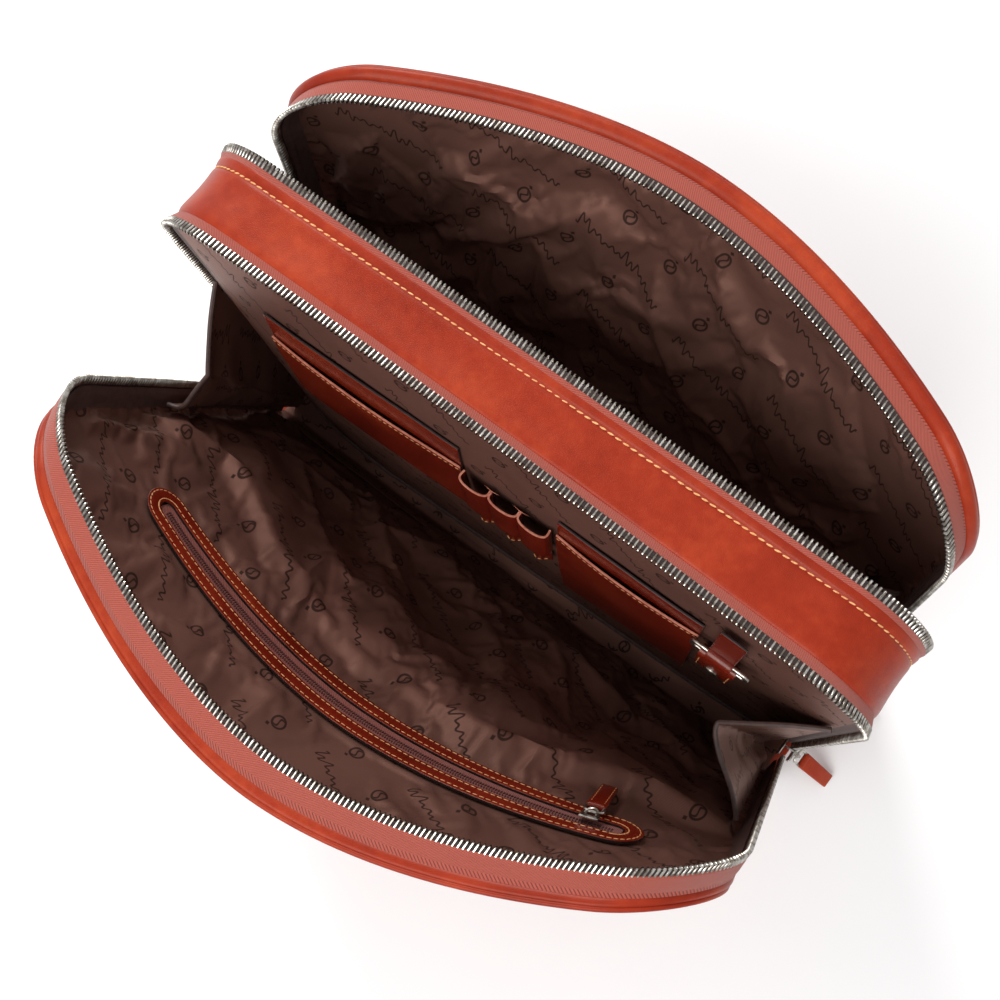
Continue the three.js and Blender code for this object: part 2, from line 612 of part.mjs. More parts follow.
for (const [label, side] of [['front', -1], ['rear', 1]]) {
  const { slider, eye } = zipSlider(side);
  add(`${label}_zip_slider`, slider, NICKEL);
  const along = v3(Math.sin(PULL_LEAN), 0, -Math.cos(PULL_LEAN));
  add(`${label}_zip_pull`, pull(eye, v3(0, 1, 0), along), COGNAC);
}
{
  const u = POCKET.to - 26;
  const top = onCover(FRONT, u, POCKET.height, COIL_DEPTH - COIL_THICK / 2 - LAYER_CLEAR - 0.9);
  const normal = unit(onCover(FRONT, u, POCKET.height, COIL_DEPTH - 3).sub(top));
  const ahead = onCover(FRONT, u + 4, POCKET.height, COIL_DEPTH);
  const along = unit(ahead.sub(onCover(FRONT, u - 4, POCKET.height, COIL_DEPTH)));
  const upward = unit(normal.clone().cross(along));
  const body = new THREE.BoxGeometry(9, 7, 1.8);
  body.applyMatrix4(new THREE.Matrix4().makeBasis(along, upward, normal));
  body.translate(top.x, top.y, top.z);
  const eye = top.clone().addScaledVector(normal, 0.9 + 2);
  const ring = [-1.4, 0, 1.4].map((k) => eye.clone().addScaledVector(along, k));
  const hole = [-4, 0, 4].map((k) => eye.clone().addScaledVector(along, k));
  add('pocket_slider', cut(join(body, wire(ring, 2.3, false, 12)), wire(hole, 1.3, false, 12)), NICKEL);
  const fall = upward.clone().negate().multiplyScalar(Math.sign(upward.z));
  const lean = unit(fall.clone().addScaledVector(normal, 0.16));
  add('pocket_pull', pull(eye, along, lean), GLOSSY);
}

export default bag;
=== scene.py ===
"""A leather briefcase that stands open: its leather, lining, zips, pocket, organiser and handles."""
import math
import random

import bmesh
import bpy
import numpy as np
from mathutils import Matrix, Vector, noise


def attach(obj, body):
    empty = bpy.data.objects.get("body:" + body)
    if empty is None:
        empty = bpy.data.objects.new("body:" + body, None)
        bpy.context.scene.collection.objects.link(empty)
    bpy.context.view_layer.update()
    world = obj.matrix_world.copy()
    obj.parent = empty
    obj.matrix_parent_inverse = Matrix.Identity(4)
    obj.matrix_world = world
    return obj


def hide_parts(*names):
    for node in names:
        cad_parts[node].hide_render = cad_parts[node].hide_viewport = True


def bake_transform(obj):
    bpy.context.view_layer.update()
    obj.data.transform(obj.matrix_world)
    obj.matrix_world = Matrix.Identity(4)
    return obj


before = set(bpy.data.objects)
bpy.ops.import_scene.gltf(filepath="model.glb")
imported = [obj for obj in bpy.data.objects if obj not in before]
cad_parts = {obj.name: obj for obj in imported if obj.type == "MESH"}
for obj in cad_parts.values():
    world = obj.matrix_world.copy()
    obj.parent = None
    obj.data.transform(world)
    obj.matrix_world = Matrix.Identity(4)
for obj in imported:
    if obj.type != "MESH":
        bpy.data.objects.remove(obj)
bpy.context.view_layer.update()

# ---- Sizes, in millimetres. A mesh becomes metres when it is made into a piece.
MM = 0.001
LENGTH, HEIGHT, CORNER = 400.0, 298.0, 44.0
HALF = LENGTH / 2
MID_ZIP = 24.6                 # from the middle to each of the middle's zip lines
DEPTH = 22.0                   # of a cover, from its zip line to its outer face
HINGE_Y, HINGE_HEIGHT = 48.6, 4.0
COVER_HEIGHT = HEIGHT - HINGE_HEIGHT
SHRINK = 0.06                  # shortening of a bellied top edge
ZIP_START = 14.0
MIDDLE_BOW = 3.6               # the front zip line of the middle bows inwards
TOOTH_PITCH = 2.35
LINING_DEPTH = 16.8
POCKET_FROM, POCKET_TO, POCKET_HEIGHT = -147.0, 158.0, 224.0
FRAME_HALF, SLOT_HALF, FRAME_DEPTH = 13.5, 5.0, 13.1
CARD = dict(left=-138, right=-20, top=250, front=226, bottom=150)
PHONE = dict(left=37, right=118, top=246, front=226, bottom=92)
PENS = dict(left=-18, right=34, top=226, bottom=186, loops=3, depth=6)
KEY_X, KEY_Z = 132.0, 228.0
FIRST_LAYER, SECOND_LAYER = 2.0, 3.7   # stand of the organiser's sheets off the divider
GUSSET_TOP, GUSSET_EDGE = 204.0, 8.2
GUSSET_FOLD = dict(left=14.0, right=38.0)
GUSSET_COLUMNS, GUSSET_CUT = 36, 197.0
SEAM_INSET, SEAM_OUT = 7.5, 21.95      # the sewn line round each outer face
BAND_STITCH_OUT = 12.6                 # the sewn line on the middle band
PANEL_INSET, LINING_INSET, DIVIDER_INSET = 0.7, 4.6, 7.4
LINING_NET = (125, 95)                 # columns and rows of the simulated linings
FLOOR = (388, 84)
SHORT_SEAM = 28                        # one side of the thread on a key tab or handle chape
CREASE = 40                            # degrees past which an edge stays sharp
CLOTH = 0.5                            # thickness of the lining
random.seed(7)


# ---- Placing
class Cover:
    """An outer compartment: how far it leans, bellies and twists away from the middle."""

    def __init__(self, label, side, angle, belly, twist, hand):
        self.label, self.side, self.belly, self.twist, self.hand = label, side, belly, twist, hand
        self.sin, self.cos = math.sin(math.radians(angle)), math.cos(math.radians(angle))
        self.body = label + "_cover"

    def swell(self, along, rise):
        belly = self.belly * (1 - min(1.0, abs(along) / HALF) ** 1.85)
        twist = self.twist * (1 + self.hand * along / HALF) / 2
        return (belly + twist) * rise ** 1.35

    def at(self, along, up, out):
        """The point so far along, up from the hinge and outwards from the zip line."""
        rise = max(0.0, up) / COVER_HEIGHT
        depth = out - DEPTH + self.swell(along, rise)
        return Vector((
            along * (1 - SHRINK * rise),
            self.side * (HINGE_Y + self.sin * up + self.cos * depth),
            HINGE_HEIGHT + self.cos * up - self.sin * depth,
        ))

    def read(self, point):
        """Along, up and out of a point, the other way round."""
        away, high = self.side * point[1] - HINGE_Y, point[2] - HINGE_HEIGHT
        up, depth = self.sin * away + self.cos * high, self.cos * away - self.sin * high
        rise = max(0.0, up) / COVER_HEIGHT
        along = point[0] / (1 - SHRINK * rise)
        return along, up, depth + DEPTH - self.swell(along, rise)


FRONT = Cover("front", -1, 14.0, 79.0, 15.0, -1)
REAR = Cover("rear", 1, 3.7, 64.0, 9.0, 1)


def middle_at(along, up, out):
    """The same for the middle, where out is measured from its middle plane towards the rear."""
    level = 1 - min(1.0, abs(along) / HALF) ** 2
    bow = MIDDLE_BOW * max(0.0, -out / MID_ZIP) * level * (max(0.0, up) / HEIGHT) ** 3
    return Vector((along, out + bow, up))


def wall_at(along, up, stand=0.0):
    """A point on the divider's front face, which slopes forwards at the bottom."""
    ends = 1 - min(1.0, abs(along) / (HALF - 7)) ** 8
    sag = min(12.5, 9 - 0.03 * along) * (1 - (up / HEIGHT) ** 4) * ends
    return middle_at(along, up, -(MID_ZIP - 4.1 + sag + stand))


class Rim:
    """The upturned U that a zip line follows, measured along its real length."""

    def __init__(self, at, bottom, crown):
        self.place, self.bottom, self.crown = at, bottom, crown
        side, turn, top = crown - CORNER - bottom, CORNER * math.pi / 2, LENGTH - 2 * CORNER
        self.stops = np.cumsum([0, side, turn, top, turn, side])
        self.flat = np.linspace(0, self.stops[-1], 700)
        points = [np.array(self.flat_at(d, 0, 0)) for d in self.flat]
        steps = [np.linalg.norm(b - a) for a, b in zip(points, points[1:])]
        self.real = np.concatenate([[0], np.cumsum(steps)])
        self.length = float(self.real[-1])

    def flat_at(self, flat, out, inset):
        stops, start = self.stops, CORNER - HALF
        middle = self.crown - CORNER
        if flat < stops[1]:
            x, z, angle = -HALF, self.bottom + flat, math.pi
        elif flat < stops[2]:
            angle = math.pi - (flat - stops[1]) / CORNER
            x, z = start + CORNER * math.cos(angle), middle + CORNER * math.sin(angle)
        elif flat < stops[3]:
            x, z, angle = start + flat - stops[2], self.crown, math.pi / 2
        elif flat < stops[4]:
            angle = math.pi / 2 - (flat - stops[3]) / CORNER
            x, z = -start + CORNER * math.cos(angle), middle + CORNER * math.sin(angle)
        else:
            x, z, angle = HALF, middle - (flat - stops[4]), 0.0
        return self.place(x - inset * math.cos(angle), z - inset * math.sin(angle), out)

    def at(self, distance, out, inset):
        return self.flat_at(float(np.interp(distance, self.real, self.flat)), out, inset)


def reach(inset, height, crown):
    """Half the width of the U at a height, for plates that fill it."""
    radius = CORNER - inset
    over = max(0.0, height - (crown - inset - radius))
    return HALF - inset - radius + math.sqrt(max(0.0, radius * radius - over * over))


def plate_spot(s, t, inset, bottom, crown):
    """Along and up of a point in a plate that fills the U."""
    top = crown - inset
    straight = top - (CORNER - inset)
    if t < 0.8:
        up = bottom + (straight - bottom) * t / 0.8
    else:
        up = straight + (top - straight) * math.sin(math.pi / 2 * (t - 0.8) / 0.2)
    return reach(inset, min(up, top), crown) * (2 * s - 1), up


def from_edge(along, up, inset, crown):
    """How far a spot of such a plate is from its sides and top."""
    return min(reach(inset, up, crown) - abs(along), crown - inset - up)


def smooth_step(value, low, high):
    share = min(1.0, max(0.0, (value - low) / (high - low)))
    return share * share * (3 - 2 * share)


def curve(knots, spans=4):
    """A smooth line through the knots."""
    knots = [Vector(k) for k in knots]
    line = []
    for i in range(len(knots) - 1):
        a, b, c, d = (knots[max(0, min(len(knots) - 1, i + k))] for k in (-1, 0, 1, 2))
        for k in range(spans):
            t = k / spans
            line.append(0.5 * (2 * b + (c - a) * t + (2 * a - 5 * b + 4 * c - d) * t * t
                               + (3 * b - a - 3 * c + d) * t ** 3))
    return line + [knots[-1]]


# ---- Meshes
def grid(columns, rows, place, flat=(1, 1)):
    """A sheet of columns by rows; place gives each point and flat its place in the uncut cloth."""
    bm = bmesh.new()
    bmesh.ops.create_grid(bm, x_segments=columns, y_segments=rows, size=0.5)
    layer = bm.loops.layers.uv.new("cut")
    spots = {vert: (vert.co.x + 0.5, vert.co.y + 0.5) for vert in bm.verts}
    for face in bm.faces:
        for loop in face.loops:
            s, t = spots[loop.vert]
            u, v = flat(s, t) if callable(flat) else (s * flat[0], t * flat[1])
            loop[layer].uv = (u * MM, v * MM)
    for vert, (s, t) in spots.items():
        vert.co = place(s, t)
    return bm


def thicken(bm, thick):
    """Gives a sheet its thickness, against its normals; the new side walls take material 1."""
    front = set(bm.faces)
    made = bmesh.ops.extrude_face_region(bm, geom=list(bm.faces), use_keep_orig=True)["geom"]
    moved = [item for item in made if isinstance(item, bmesh.types.BMVert)]
    back = {item for item in made if isinstance(item, bmesh.types.BMFace)}
    bm.normal_update()
    shifts = [vert.normal * thick for vert in moved]
    for vert, shift in zip(moved, shifts):
        vert.co += shift
    for face in bm.faces:
        if face not in front and face not in back:
            face.material_index = 1


def sharp(bm, degrees):
    limit = math.radians(degrees)
    return [e for e in bm.edges if e.is_manifold and e.calc_face_angle(0) > limit]


def rounded(bm, edges, width, segments):
    bmesh.ops.bevel(bm, geom=edges, offset=width, segments=segments, profile=0.5, affect="EDGES",
                    material=-1)


def made(bm, name):
    """Turns a mesh in millimetres into an object in metres."""
    bmesh.ops.transform(bm, matrix=Matrix.Scale(MM, 4), verts=bm.verts)
    mesh = bpy.data.meshes.new(name)
    bm.to_mesh(mesh)
    bm.free()
    thing = bpy.data.objects.new(name, mesh)
    bpy.context.scene.collection.objects.link(thing)
    return thing


def piece(bm, name, body, looks, stands=(), thick=0.0, bevel=0.0, slot=None):
    """Finishes a mesh in millimetres as a piece that rides on a body; given a tuple of bodies, it is
    left unattached where it is made.
    """
    looks = looks if isinstance(looks, tuple) else (looks, looks)
    if thick:
        thicken(bm, thick)
    bmesh.ops.recalc_face_normals(bm, faces=bm.faces)
    if bevel:
        rounded(bm, sharp(bm, 35), bevel, 2)
    for face in bm.faces:
        face.smooth = True
    for edge in sharp(bm, CREASE):
        edge.smooth = False
    thing = made(bm, name)
    for look in looks:
        thing.data.materials.append(look)
    if isinstance(body, tuple):
        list(body)
        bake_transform(thing)
    else:
        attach(thing, body)
    slot or SLOTS[looks[0]]
    if stands:
        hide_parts(*stands)
    return thing


def along_rim(rim, profile, step=4.0, start=0.0, end=None, lift=None):
    """A strip along a rim whose profile is a list of (out, inset)."""
    end = rim.length if end is None else end
    rows = len(profile) - 1
    widths = np.concatenate([[0], np.cumsum([(Vector(b) - Vector(a)).length
                                             for a, b in zip(profile, profile[1:])])])

    def place(s, t):
        out, inset = profile[round(t * rows)]
        distance = start + s * (end - start)
        return rim.at(distance, out, inset + (lift(distance, out) if lift else 0.0))

    def flat(s, t):
        return start + s * (end - start), widths[round(t * rows)]

    return grid(max(4, round((end - start) / step)), rows, place, flat)


def frames(points, looped=False):
    """A point, its direction and two directions across it, all along a line."""
    count, across, found = len(points), Vector((0.13, 0.97, 0.21)), []
    for i, point in enumerate(points):
        after = points[(i + 1) % count] if looped else points[min(count - 1, i + 1)]
        along = (after - points[i - 1 if looped else max(0, i - 1)]).normalized()
        across = (across - along * across.dot(along)).normalized()
        found.append((point, along, across, along.cross(across)))
    return found


def tube(points, radius, sides, looped=False):
    """A round tube; radius may be a function of the share of its length."""
    stations = frames(points, looped)
    if looped:
        # Every station's frame comes from the first one's, so the last one meets it untwisted.
        first = stations[0][2]
        turned = [(first - a * first.dot(a)).normalized() for _, a, _, _ in stations]
        stations = [(p, a, f, a.cross(f)) for (p, a, _, _), f in zip(stations, turned)]
        stations.append(stations[0])
    count = len(stations) - 1

    def place(s, t):
        point, _, across, over = stations[round(s * count)]
        turn, size = 2 * math.pi * t, radius(s) if callable(radius) else radius
        return point + across * (size * math.cos(turn)) + over * (size * math.sin(turn))

    bm = grid(count, sides, place, (count, sides))
    bmesh.ops.remove_doubles(bm, verts=bm.verts, dist=0.002)
    if not looped:
        bmesh.ops.holes_fill(bm, edges=[e for e in bm.edges if e.is_boundary], sides=0)
    return bm


def roller(centre, axis, width, radius, sides=16):
    """A short round bar, such as leather that is rolled round a wire."""
    return tube([centre + axis * (width * (k / 8 - 0.5)) for k in range(9)], radius, sides)


def box(size, bevel, segments):
    bm = bmesh.new()
    bmesh.ops.create_cube(bm, size=1.0)
    bmesh.ops.scale(bm, vec=size, verts=bm.verts)
    rounded(bm, list(bm.edges), bevel, segments)
    return bm


def basis(x, y, z, origin):
    """The matrix that turns a shape's own axes to x, y and z and moves it to origin."""
    matrix = Matrix((x, y, z)).transposed().to_4x4()
    matrix.translation = origin
    return matrix


def placed(bm, matrix):
    bmesh.ops.transform(bm, matrix=matrix, verts=bm.verts)
    return bm


def boxed(size, bevel, segments, centre):
    return placed(box(size, bevel, segments), Matrix.Translation(centre))


def joined(*parts):
    whole = bmesh.new()
    for bm in parts:
        mesh = bpy.data.meshes.new("part")
        bm.to_mesh(mesh)
        bm.free()
        whole.from_mesh(mesh)
        bpy.data.meshes.remove(mesh)
    return whole


def repeated(bm, matrices):
    shape = bpy.data.meshes.new("shape")
    bm.to_mesh(shape)
    bm.free()
    whole = bmesh.new()
    for matrix in matrices:
        copy = shape.copy()
        copy.transform(matrix)
        whole.from_mesh(copy)
        bpy.data.meshes.remove(copy)
    bpy.data.meshes.remove(shape)
    return whole


def stitches(spot, length, pitch=3.9, run=3.0, width=0.62, height=0.5, slant=6):
    """Sewn thread along a line: spot gives the point and the outward normal at a distance."""
    bm = bmesh.new()
    bmesh.ops.create_uvsphere(bm, u_segments=6, v_segments=4, radius=0.5)
    bmesh.ops.rotate(bm, matrix=Matrix.Rotation(math.pi / 2, 3, "Y"), verts=bm.verts)
    bmesh.ops.scale(bm, vec=(run, width, height), verts=bm.verts)
    matrices = []
    count = int(length / pitch)
    for i in range(count):
        middle = (i + 0.5) * length / count
        point, normal = spot(middle)
        ahead, _ = spot(min(length, middle + 0.5))
        behind, _ = spot(max(0.0, middle - 0.5))
        along = (ahead - behind).normalized()
        along.rotate(Matrix.Rotation(math.radians(slant + random.uniform(-3, 3)), 3, normal))
        across = normal.cross(along).normalized()
        matrices.append(basis(along, across, along.cross(across), point))
    return repeated(bm, matrices)


# ---- Materials
class Value:
    """A number that varies over a surface; arithmetic on it adds Math nodes."""

    def __init__(self, look, socket):
        self.look, self.socket = look, socket

    def math(self, operation, *others):
        return self.look.add("Math", {"operation": operation}, dict(enumerate((self,) + others)))

    def __add__(self, other):
        return self.math("ADD", other)

    def __sub__(self, other):
        return self.math("SUBTRACT", other)

    def __rsub__(self, other):
        return self.look.add("Math", {"operation": "SUBTRACT"}, {0: other, 1: self})

    def __mul__(self, other):
        return self.math("MULTIPLY", other)

    def __truediv__(self, other):
        return self.math("DIVIDE", other)

    def __mod__(self, other):
        return self.math("FLOORED_MODULO", other)

    def __abs__(self):
        return self.math("ABSOLUTE")

    __radd__, __rmul__ = __add__, __mul__

    def sin(self):
        return self.math("SINE")

    def step(self, low, high):
        """0 below low and 1 above high, with a smooth change between them."""
        return self.look.add("MapRange", {"interpolation_type": "SMOOTHSTEP"},
                             {"Value": self, "From Min": low, "From Max": high})


class Look:
    """A material made from nodes."""

    def __init__(self, name):
        self.material = bpy.data.materials.new(name)
        self.material.use_nodes = True
        self.tree = self.material.node_tree
        self.tree.nodes.clear()

    def add(self, kind, settings=None, sockets=None, out=0):
        node = self.tree.nodes.new("ShaderNode" + kind)
        for key, value in (settings or {}).items():
            if key == "stops":
                points = node.color_ramp.elements
                while len(points) < len(value):
                    points.new(0.5)
                for point, (position, colour) in zip(points, value):
                    point.position, point.color = position, (*colour, 1)
            else:
                setattr(node, key, value)
        for key, value in (sockets or {}).items():
            if isinstance(value, Value):
                self.tree.links.new(value.socket, node.inputs[key])
            else:
                node.inputs[key].default_value = value
        return Value(self, node.outputs[out]) if node.outputs else None

    def spot(self):
        return self.add("TexCoord", out="Object")

    def cut(self):
        """Place in the uncut cloth, in millimetres."""
        flat = self.add("VectorMath", {"operation": "SCALE"},
                        {0: self.add("TexCoord", out="UV"), "Scale": 1000.0})
        return (self.add("SeparateXYZ", sockets={0: flat}, out="X"),
                self.add("SeparateXYZ", sockets={0: flat}, out="Y"))

    def noise(self, vector, scale, detail=3.0, rough=0.5):
        return self.add("TexNoise", sockets={"Vector": vector, "Scale": scale, "Detail": detail,
                                             "Roughness": rough})

    def ramp(self, value, *stops):
        return self.add("ValToRGB", {"stops": stops}, {0: value})

    def mix(self, share, first, second):
        first, second = (c if isinstance(c, Value) else (*c, 1) for c in (first, second))
        return self.add("Mix", {"data_type": "RGBA"}, {0: share, 6: first, 7: second}, out=2)

    def bump(self, height, distance, strength=1.0, below=None):
        sockets = {"Height": height, "Distance": distance, "Strength": strength}
        if below:
            sockets["Normal"] = below
        return self.add("Bump", sockets=sockets)

    def surface(self, **sockets):
        names = {key.replace("_", " "): value for key, value in sockets.items()}
        shader = self.add("BsdfPrincipled", sockets=names)
        self.add("OutputMaterial", sockets={"Surface": shader})
        return self.material


def leather(name, deep, main, pale, rough, coat):
    """Smooth hide: clouds of dye, small flecks, pores and soft folds."""
    look = Look(name)
    spot = look.spot()
    cloud = look.noise(spot, 13.0, 4.0, 0.6)
    fleck = look.noise(spot, 190.0, 3.0, 0.6)
    tone = cloud * 0.78 + fleck * 0.22
    colour = look.ramp(tone, (0.32, deep), (0.5, main), (0.68, pale))
    cells = look.add("TexVoronoi", {"feature": "DISTANCE_TO_EDGE"}, {"Vector": spot, "Scale": 1350.0})
    pores = cells.step(0.0, 0.25)
    folds = look.noise(spot, 42.0, 3.0, 0.55)
    soft = look.bump(folds, 0.0016, 0.35)
    normal = look.bump(pores * 0.7 + fleck * 0.6, 0.00012, 0.55, soft)
    uneven = rough + (cloud - 0.5) * 0.25 + (fleck - 0.5) * 0.12
    return look.surface(Base_Color=colour, Roughness=uneven, Normal=normal, Coat_Weight=coat,
                        Coat_Roughness=0.22, IOR=1.38, Specular_IOR_Level=0.42,
                        Specular_Tint=(1.0, 0.6, 0.42, 1.0))


def satin(name, main, ink_colour, rough=0.45):
    """Woven lining with a darker pattern: rows of flourishes, and between them small rings, each
    with a leaf in it and a drop above it."""
    look = Look(name)
    u, v = look.cut()
    pitch, run = 35.0, 78.0
    row = (v / pitch).math("FLOOR")
    rise = v - (row + 0.5) * pitch
    along = (u + row * 31.0) % run - run / 2
    lean = along + rise * 0.45
    tall = 0.8 + (lean * 0.21 + 0.9).sin().math("MAXIMUM", 0.0) * 1.5
    wave = ((lean * 1.5).sin() * 1.0 + (lean * 0.7 + 1.0).sin() * 0.8) * tall
    slope = ((lean * 1.5 + 1.57).sin() * 1.5 + (lean * 0.7 + 2.57).sin() * 0.56) * tall
    away = abs(rise - wave) / (slope * slope + 1.0).math("SQRT")
    flourish = (1.0 - away.step(0.26, 0.62)) * abs(along).math("LESS_THAN", 30.0)
    ring_row = (v / pitch + 0.5).math("FLOOR")
    high = v - ring_row * pitch
    side = (u + ring_row * 19.0) % 31.0 - 15.5
    far = (side * side + high * high).math("SQRT")
    ring = 1.0 - abs(far - 3.3).step(0.35, 0.8)
    leaf = (1.0 - abs(side - (high * 1.1).sin() * 1.2).step(0.35, 0.8)) * far.math("LESS_THAN", 3.3)
    drop = 1.0 - (abs(side) + abs(high - 5.6)).step(0.9, 1.6)
    ink = flourish.math("MAXIMUM", ring).math("MAXIMUM", leaf).math("MAXIMUM", drop)
    spot = look.spot()
    cloud = look.noise(spot, 22.0, 3.0)
    base = look.mix(cloud.step(0.3, 0.7), [c * 0.86 for c in main], [c * 1.12 for c in main])
    weave = (u * 9.0 + v * 9.0).sin() * 0.5 + (v * 14.0).sin() * 0.3
    return look.surface(
        Base_Color=look.mix(ink * 0.88, base, ink_colour), Roughness=rough + ink * 0.2,
        Normal=look.bump(weave + look.noise(spot, 330.0) * 1.5, 0.00008, 0.45), Metallic=0.3,
        Specular_Tint=(1.0, 0.62, 0.50, 1), Specular_IOR_Level=0.3)


def woven_tape(name, main, shade, turn=8.4, rib=1.75):
    """Zip tape: strong slanting ribs, and finer ones the other way near the teeth, with painted shade
    in the grooves between them.
    """
    look = Look(name)
    u, v = look.cut()
    strong = abs(((u - v) * (math.pi / rib)).sin())
    fine = abs(((u + v) * (math.pi / (rib * 0.62))).sin())
    near = 1.0 - v.step(turn - 0.2, turn + 0.2)
    height = strong + (fine * 0.6 + 0.3 - strong) * near
    threads = abs((u * 6.0 + v * 2.0).sin()) * 0.25 + look.noise(look.spot(), 900.0) * 0.4
    # painted shade: the low grooves between the ribs take the darker colour, and the thread texture
    # blends in some more of the same darker tone
    colour = look.mix(height.step(0.05, 0.75), shade, main)
    return look.surface(Base_Color=look.mix(threads * 0.5, colour, shade), Roughness=0.72,
                        Normal=look.bump(height + threads * 0.4, 0.0004, 0.9),
                        Sheen_Weight=0.2, Sheen_Roughness=0.5, Specular_IOR_Level=0.3)


def metal(name, bright, dull, rough):
    """Plated metal, rubbed bright in places."""
    look = Look(name)
    spot = look.spot()
    wear = look.noise(spot, 260.0, 4.0, 0.6)
    haze = look.noise(spot, 24.0, 2.0)
    return look.surface(Base_Color=look.mix(wear.step(0.38, 0.62), dull, bright), Metallic=1.0,
                        Roughness=rough + (haze - 0.5) * 0.15,
                        Normal=look.bump(look.noise(spot, 1500.0), 0.00003, 0.4))


def plain(name, main, shade, scale, rough):
    """One tone with a finer one in it, for thread, edges, board and the floor."""
    look = Look(name)
    spot = look.spot()
    tone = look.noise(spot, scale, 4.0, 0.6)
    return look.surface(Base_Color=look.mix(tone.step(0.35, 0.65), shade, main),
                        Roughness=rough + tone * 0.1, Normal=look.bump(tone, 0.0001, 0.6))


COGNAC = leather("cognac_leather", (0.19, 0.010, 0.003), (0.28, 0.021, 0.006),
                 (0.40, 0.046, 0.013), 0.42, 0.12)
GLOSSY = leather("glossy_leather", (0.080, 0.006, 0.002), (0.150, 0.011, 0.004),
                 (0.22, 0.024, 0.008), 0.22, 0.45)
PALE_EDGE = plain("cut_leather_edge", (0.52, 0.20, 0.13), (0.35, 0.10, 0.06), 600.0, 0.6)
BLACK_EDGE = plain("painted_edge", (0.012, 0.010, 0.009), (0.03, 0.02, 0.018), 400.0, 0.35)
SATIN = satin("satin_lining", (0.142, 0.066, 0.050), (0.016, 0.007, 0.006))
SATIN_PLAIN = plain("satin_binding", (0.085, 0.045, 0.037), (0.055, 0.030, 0.025), 300.0, 0.5)
# painted shade: the zip cord lies under the teeth and is near-black, so the gaps between the teeth look
# shaded
DARK_CORD = plain("zip_cord", (0.030, 0.016, 0.013), (0.015, 0.009, 0.008), 500.0, 0.8)
TAPE = woven_tape("zip_tape", (0.42, 0.088, 0.058), (0.15, 0.019, 0.010))
POCKET_TAPE = woven_tape("pocket_tape", (0.30, 0.060, 0.038), (0.07, 0.008, 0.004), 0.0, 1.3)
NICKEL = metal("antique_nickel", (0.60, 0.57, 0.52), (0.24, 0.21, 0.18), 0.3)
THREAD = plain("thread", (0.86, 0.46, 0.20), (0.62, 0.26, 0.09), 900.0, 0.55)
DARK_THREAD = plain("dark_thread", (0.05, 0.028, 0.022), (0.03, 0.016, 0.012), 900.0, 0.6)
BOARD = plain("board", (0.030, 0.026, 0.024), (0.018, 0.016, 0.015), 200.0, 0.8)
SLOTS = {                      # the record's finish for each of them
    COGNAC: "cognac_leather", GLOSSY: "glossy_leather", SATIN: "satin_lining",
    SATIN_PLAIN: "satin_lining", DARK_THREAD: "satin_lining", DARK_CORD: "zip_tape",
    TAPE: "zip_tape", POCKET_TAPE: "zip_tape", NICKEL: "nickel", THREAD: "cognac_leather",
}
for label in ("base_board", "divider_board"):
    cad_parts[label].data.materials.clear()
    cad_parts[label].data.materials.append(BOARD)

# ---- The zips
MIDDLE_RIM = Rim(middle_at, ZIP_START, HEIGHT)


def teeth(rim, root, tip):
    """One row of teeth on a rim, each lying from its root to its tip, both (out, inset)."""
    bm = box((1.55, (Vector(tip) - Vector(root)).length, 2.5), 0.45, 1)
    for vert in bm.verts:
        vert.co.x *= 1.0 - 0.22 * smooth_step(vert.co.y, -2.0, 2.4)
    matrices = []
    for i in range(int(rim.length / TOOTH_PITCH)):
        distance = (i + 0.5) * TOOTH_PITCH
        low, high = rim.at(distance, *root), rim.at(distance, *tip)
        across = (high - low).normalized()
        ahead = rim.at(distance + 0.5, *root) - rim.at(distance - 0.5, *root)
        along = (ahead - across * ahead.dot(across)).normalized()
        matrices.append(basis(along, across, along.cross(across), (low + high) / 2))
    return repeated(bm, matrices)


def half_zip(label, rim, body, side, cord, tape, root, tip, stands):
    """A row of teeth, the cord that they grip, near-black as painted shade in the gaps between the
    teeth, and the tape that the cord edges.
    """
    flip = [(side * out, inset) for out, inset in tape]
    piece(along_rim(rim, curve(flip, 3), 3.0), label + "_woven_tape", body, TAPE,
          [stands + "_zip_tape"], thick=-0.8 * side)
    line = [(side * out, inset) for out, inset in cord]
    # the near-black cord fills the gaps between the teeth as painted shade
    piece(along_rim(rim, line + line[:1], 3.0), label + "_zip_cord", body, DARK_CORD)
    piece(teeth(rim, (side * root[0], root[1]), (side * tip[0], tip[1])), label + "_zip_row", body,
          NICKEL, [stands + "_zip_teeth"])


for cover in (FRONT, REAR):
    cover.rim = Rim(cover.at, ZIP_START - HINGE_HEIGHT, COVER_HEIGHT)
    half_zip(cover.label, cover.rim, cover.body, 1,
             [(1.3, 1.0), (4.9, 1.1), (4.9, 2.9), (1.3, 3.0)],
             [(4.4, 2.1), (5.2, 1.5), (7.5, 1.4), (11.5, 1.3), (16.6, 1.9)],
             (4.9, 2.1), (0.0, 1.9), cover.label)
for label, side in (("front", -1), ("rear", 1)):
    half_zip("middle_" + label, MIDDLE_RIM, "middle", side,
             [(23.0, -0.1), (19.7, 0.7), (19.9, 2.4), (23.2, 1.7)],
             [(20.2, 1.2), (19.4, 1.6), (17.4, 2.5), (15.2, 3.4), (13.6, 4.0)],
             (19.8, 1.6), (24.6, 0.5), "middle_" + label)

# ---- Covers: leather, piping, facing and lining
def ripple(spot, size, seed):
    """Soft waves of about one millimetre, from -1 to 1."""
    return noise.noise(Vector((spot[0] / size, spot[1] / size, seed)))


def crumple(along, up, seed):
    """Creases of loose cloth: sharp crests in two crossing directions."""
    total = 0.0
    for size, share, turn in ((58, 1.0, 0.6), (33, 0.55, -0.7), (17, 0.22, 0.2)):
        a = along * math.cos(turn) - up * math.sin(turn)
        b = along * math.sin(turn) + up * math.cos(turn)
        wave = noise.noise(Vector((a / size, b / (size * 2.1), seed + turn)))
        total += share * (1 - min(1.0, abs(wave) * 2.6)) ** 1.6
    return total


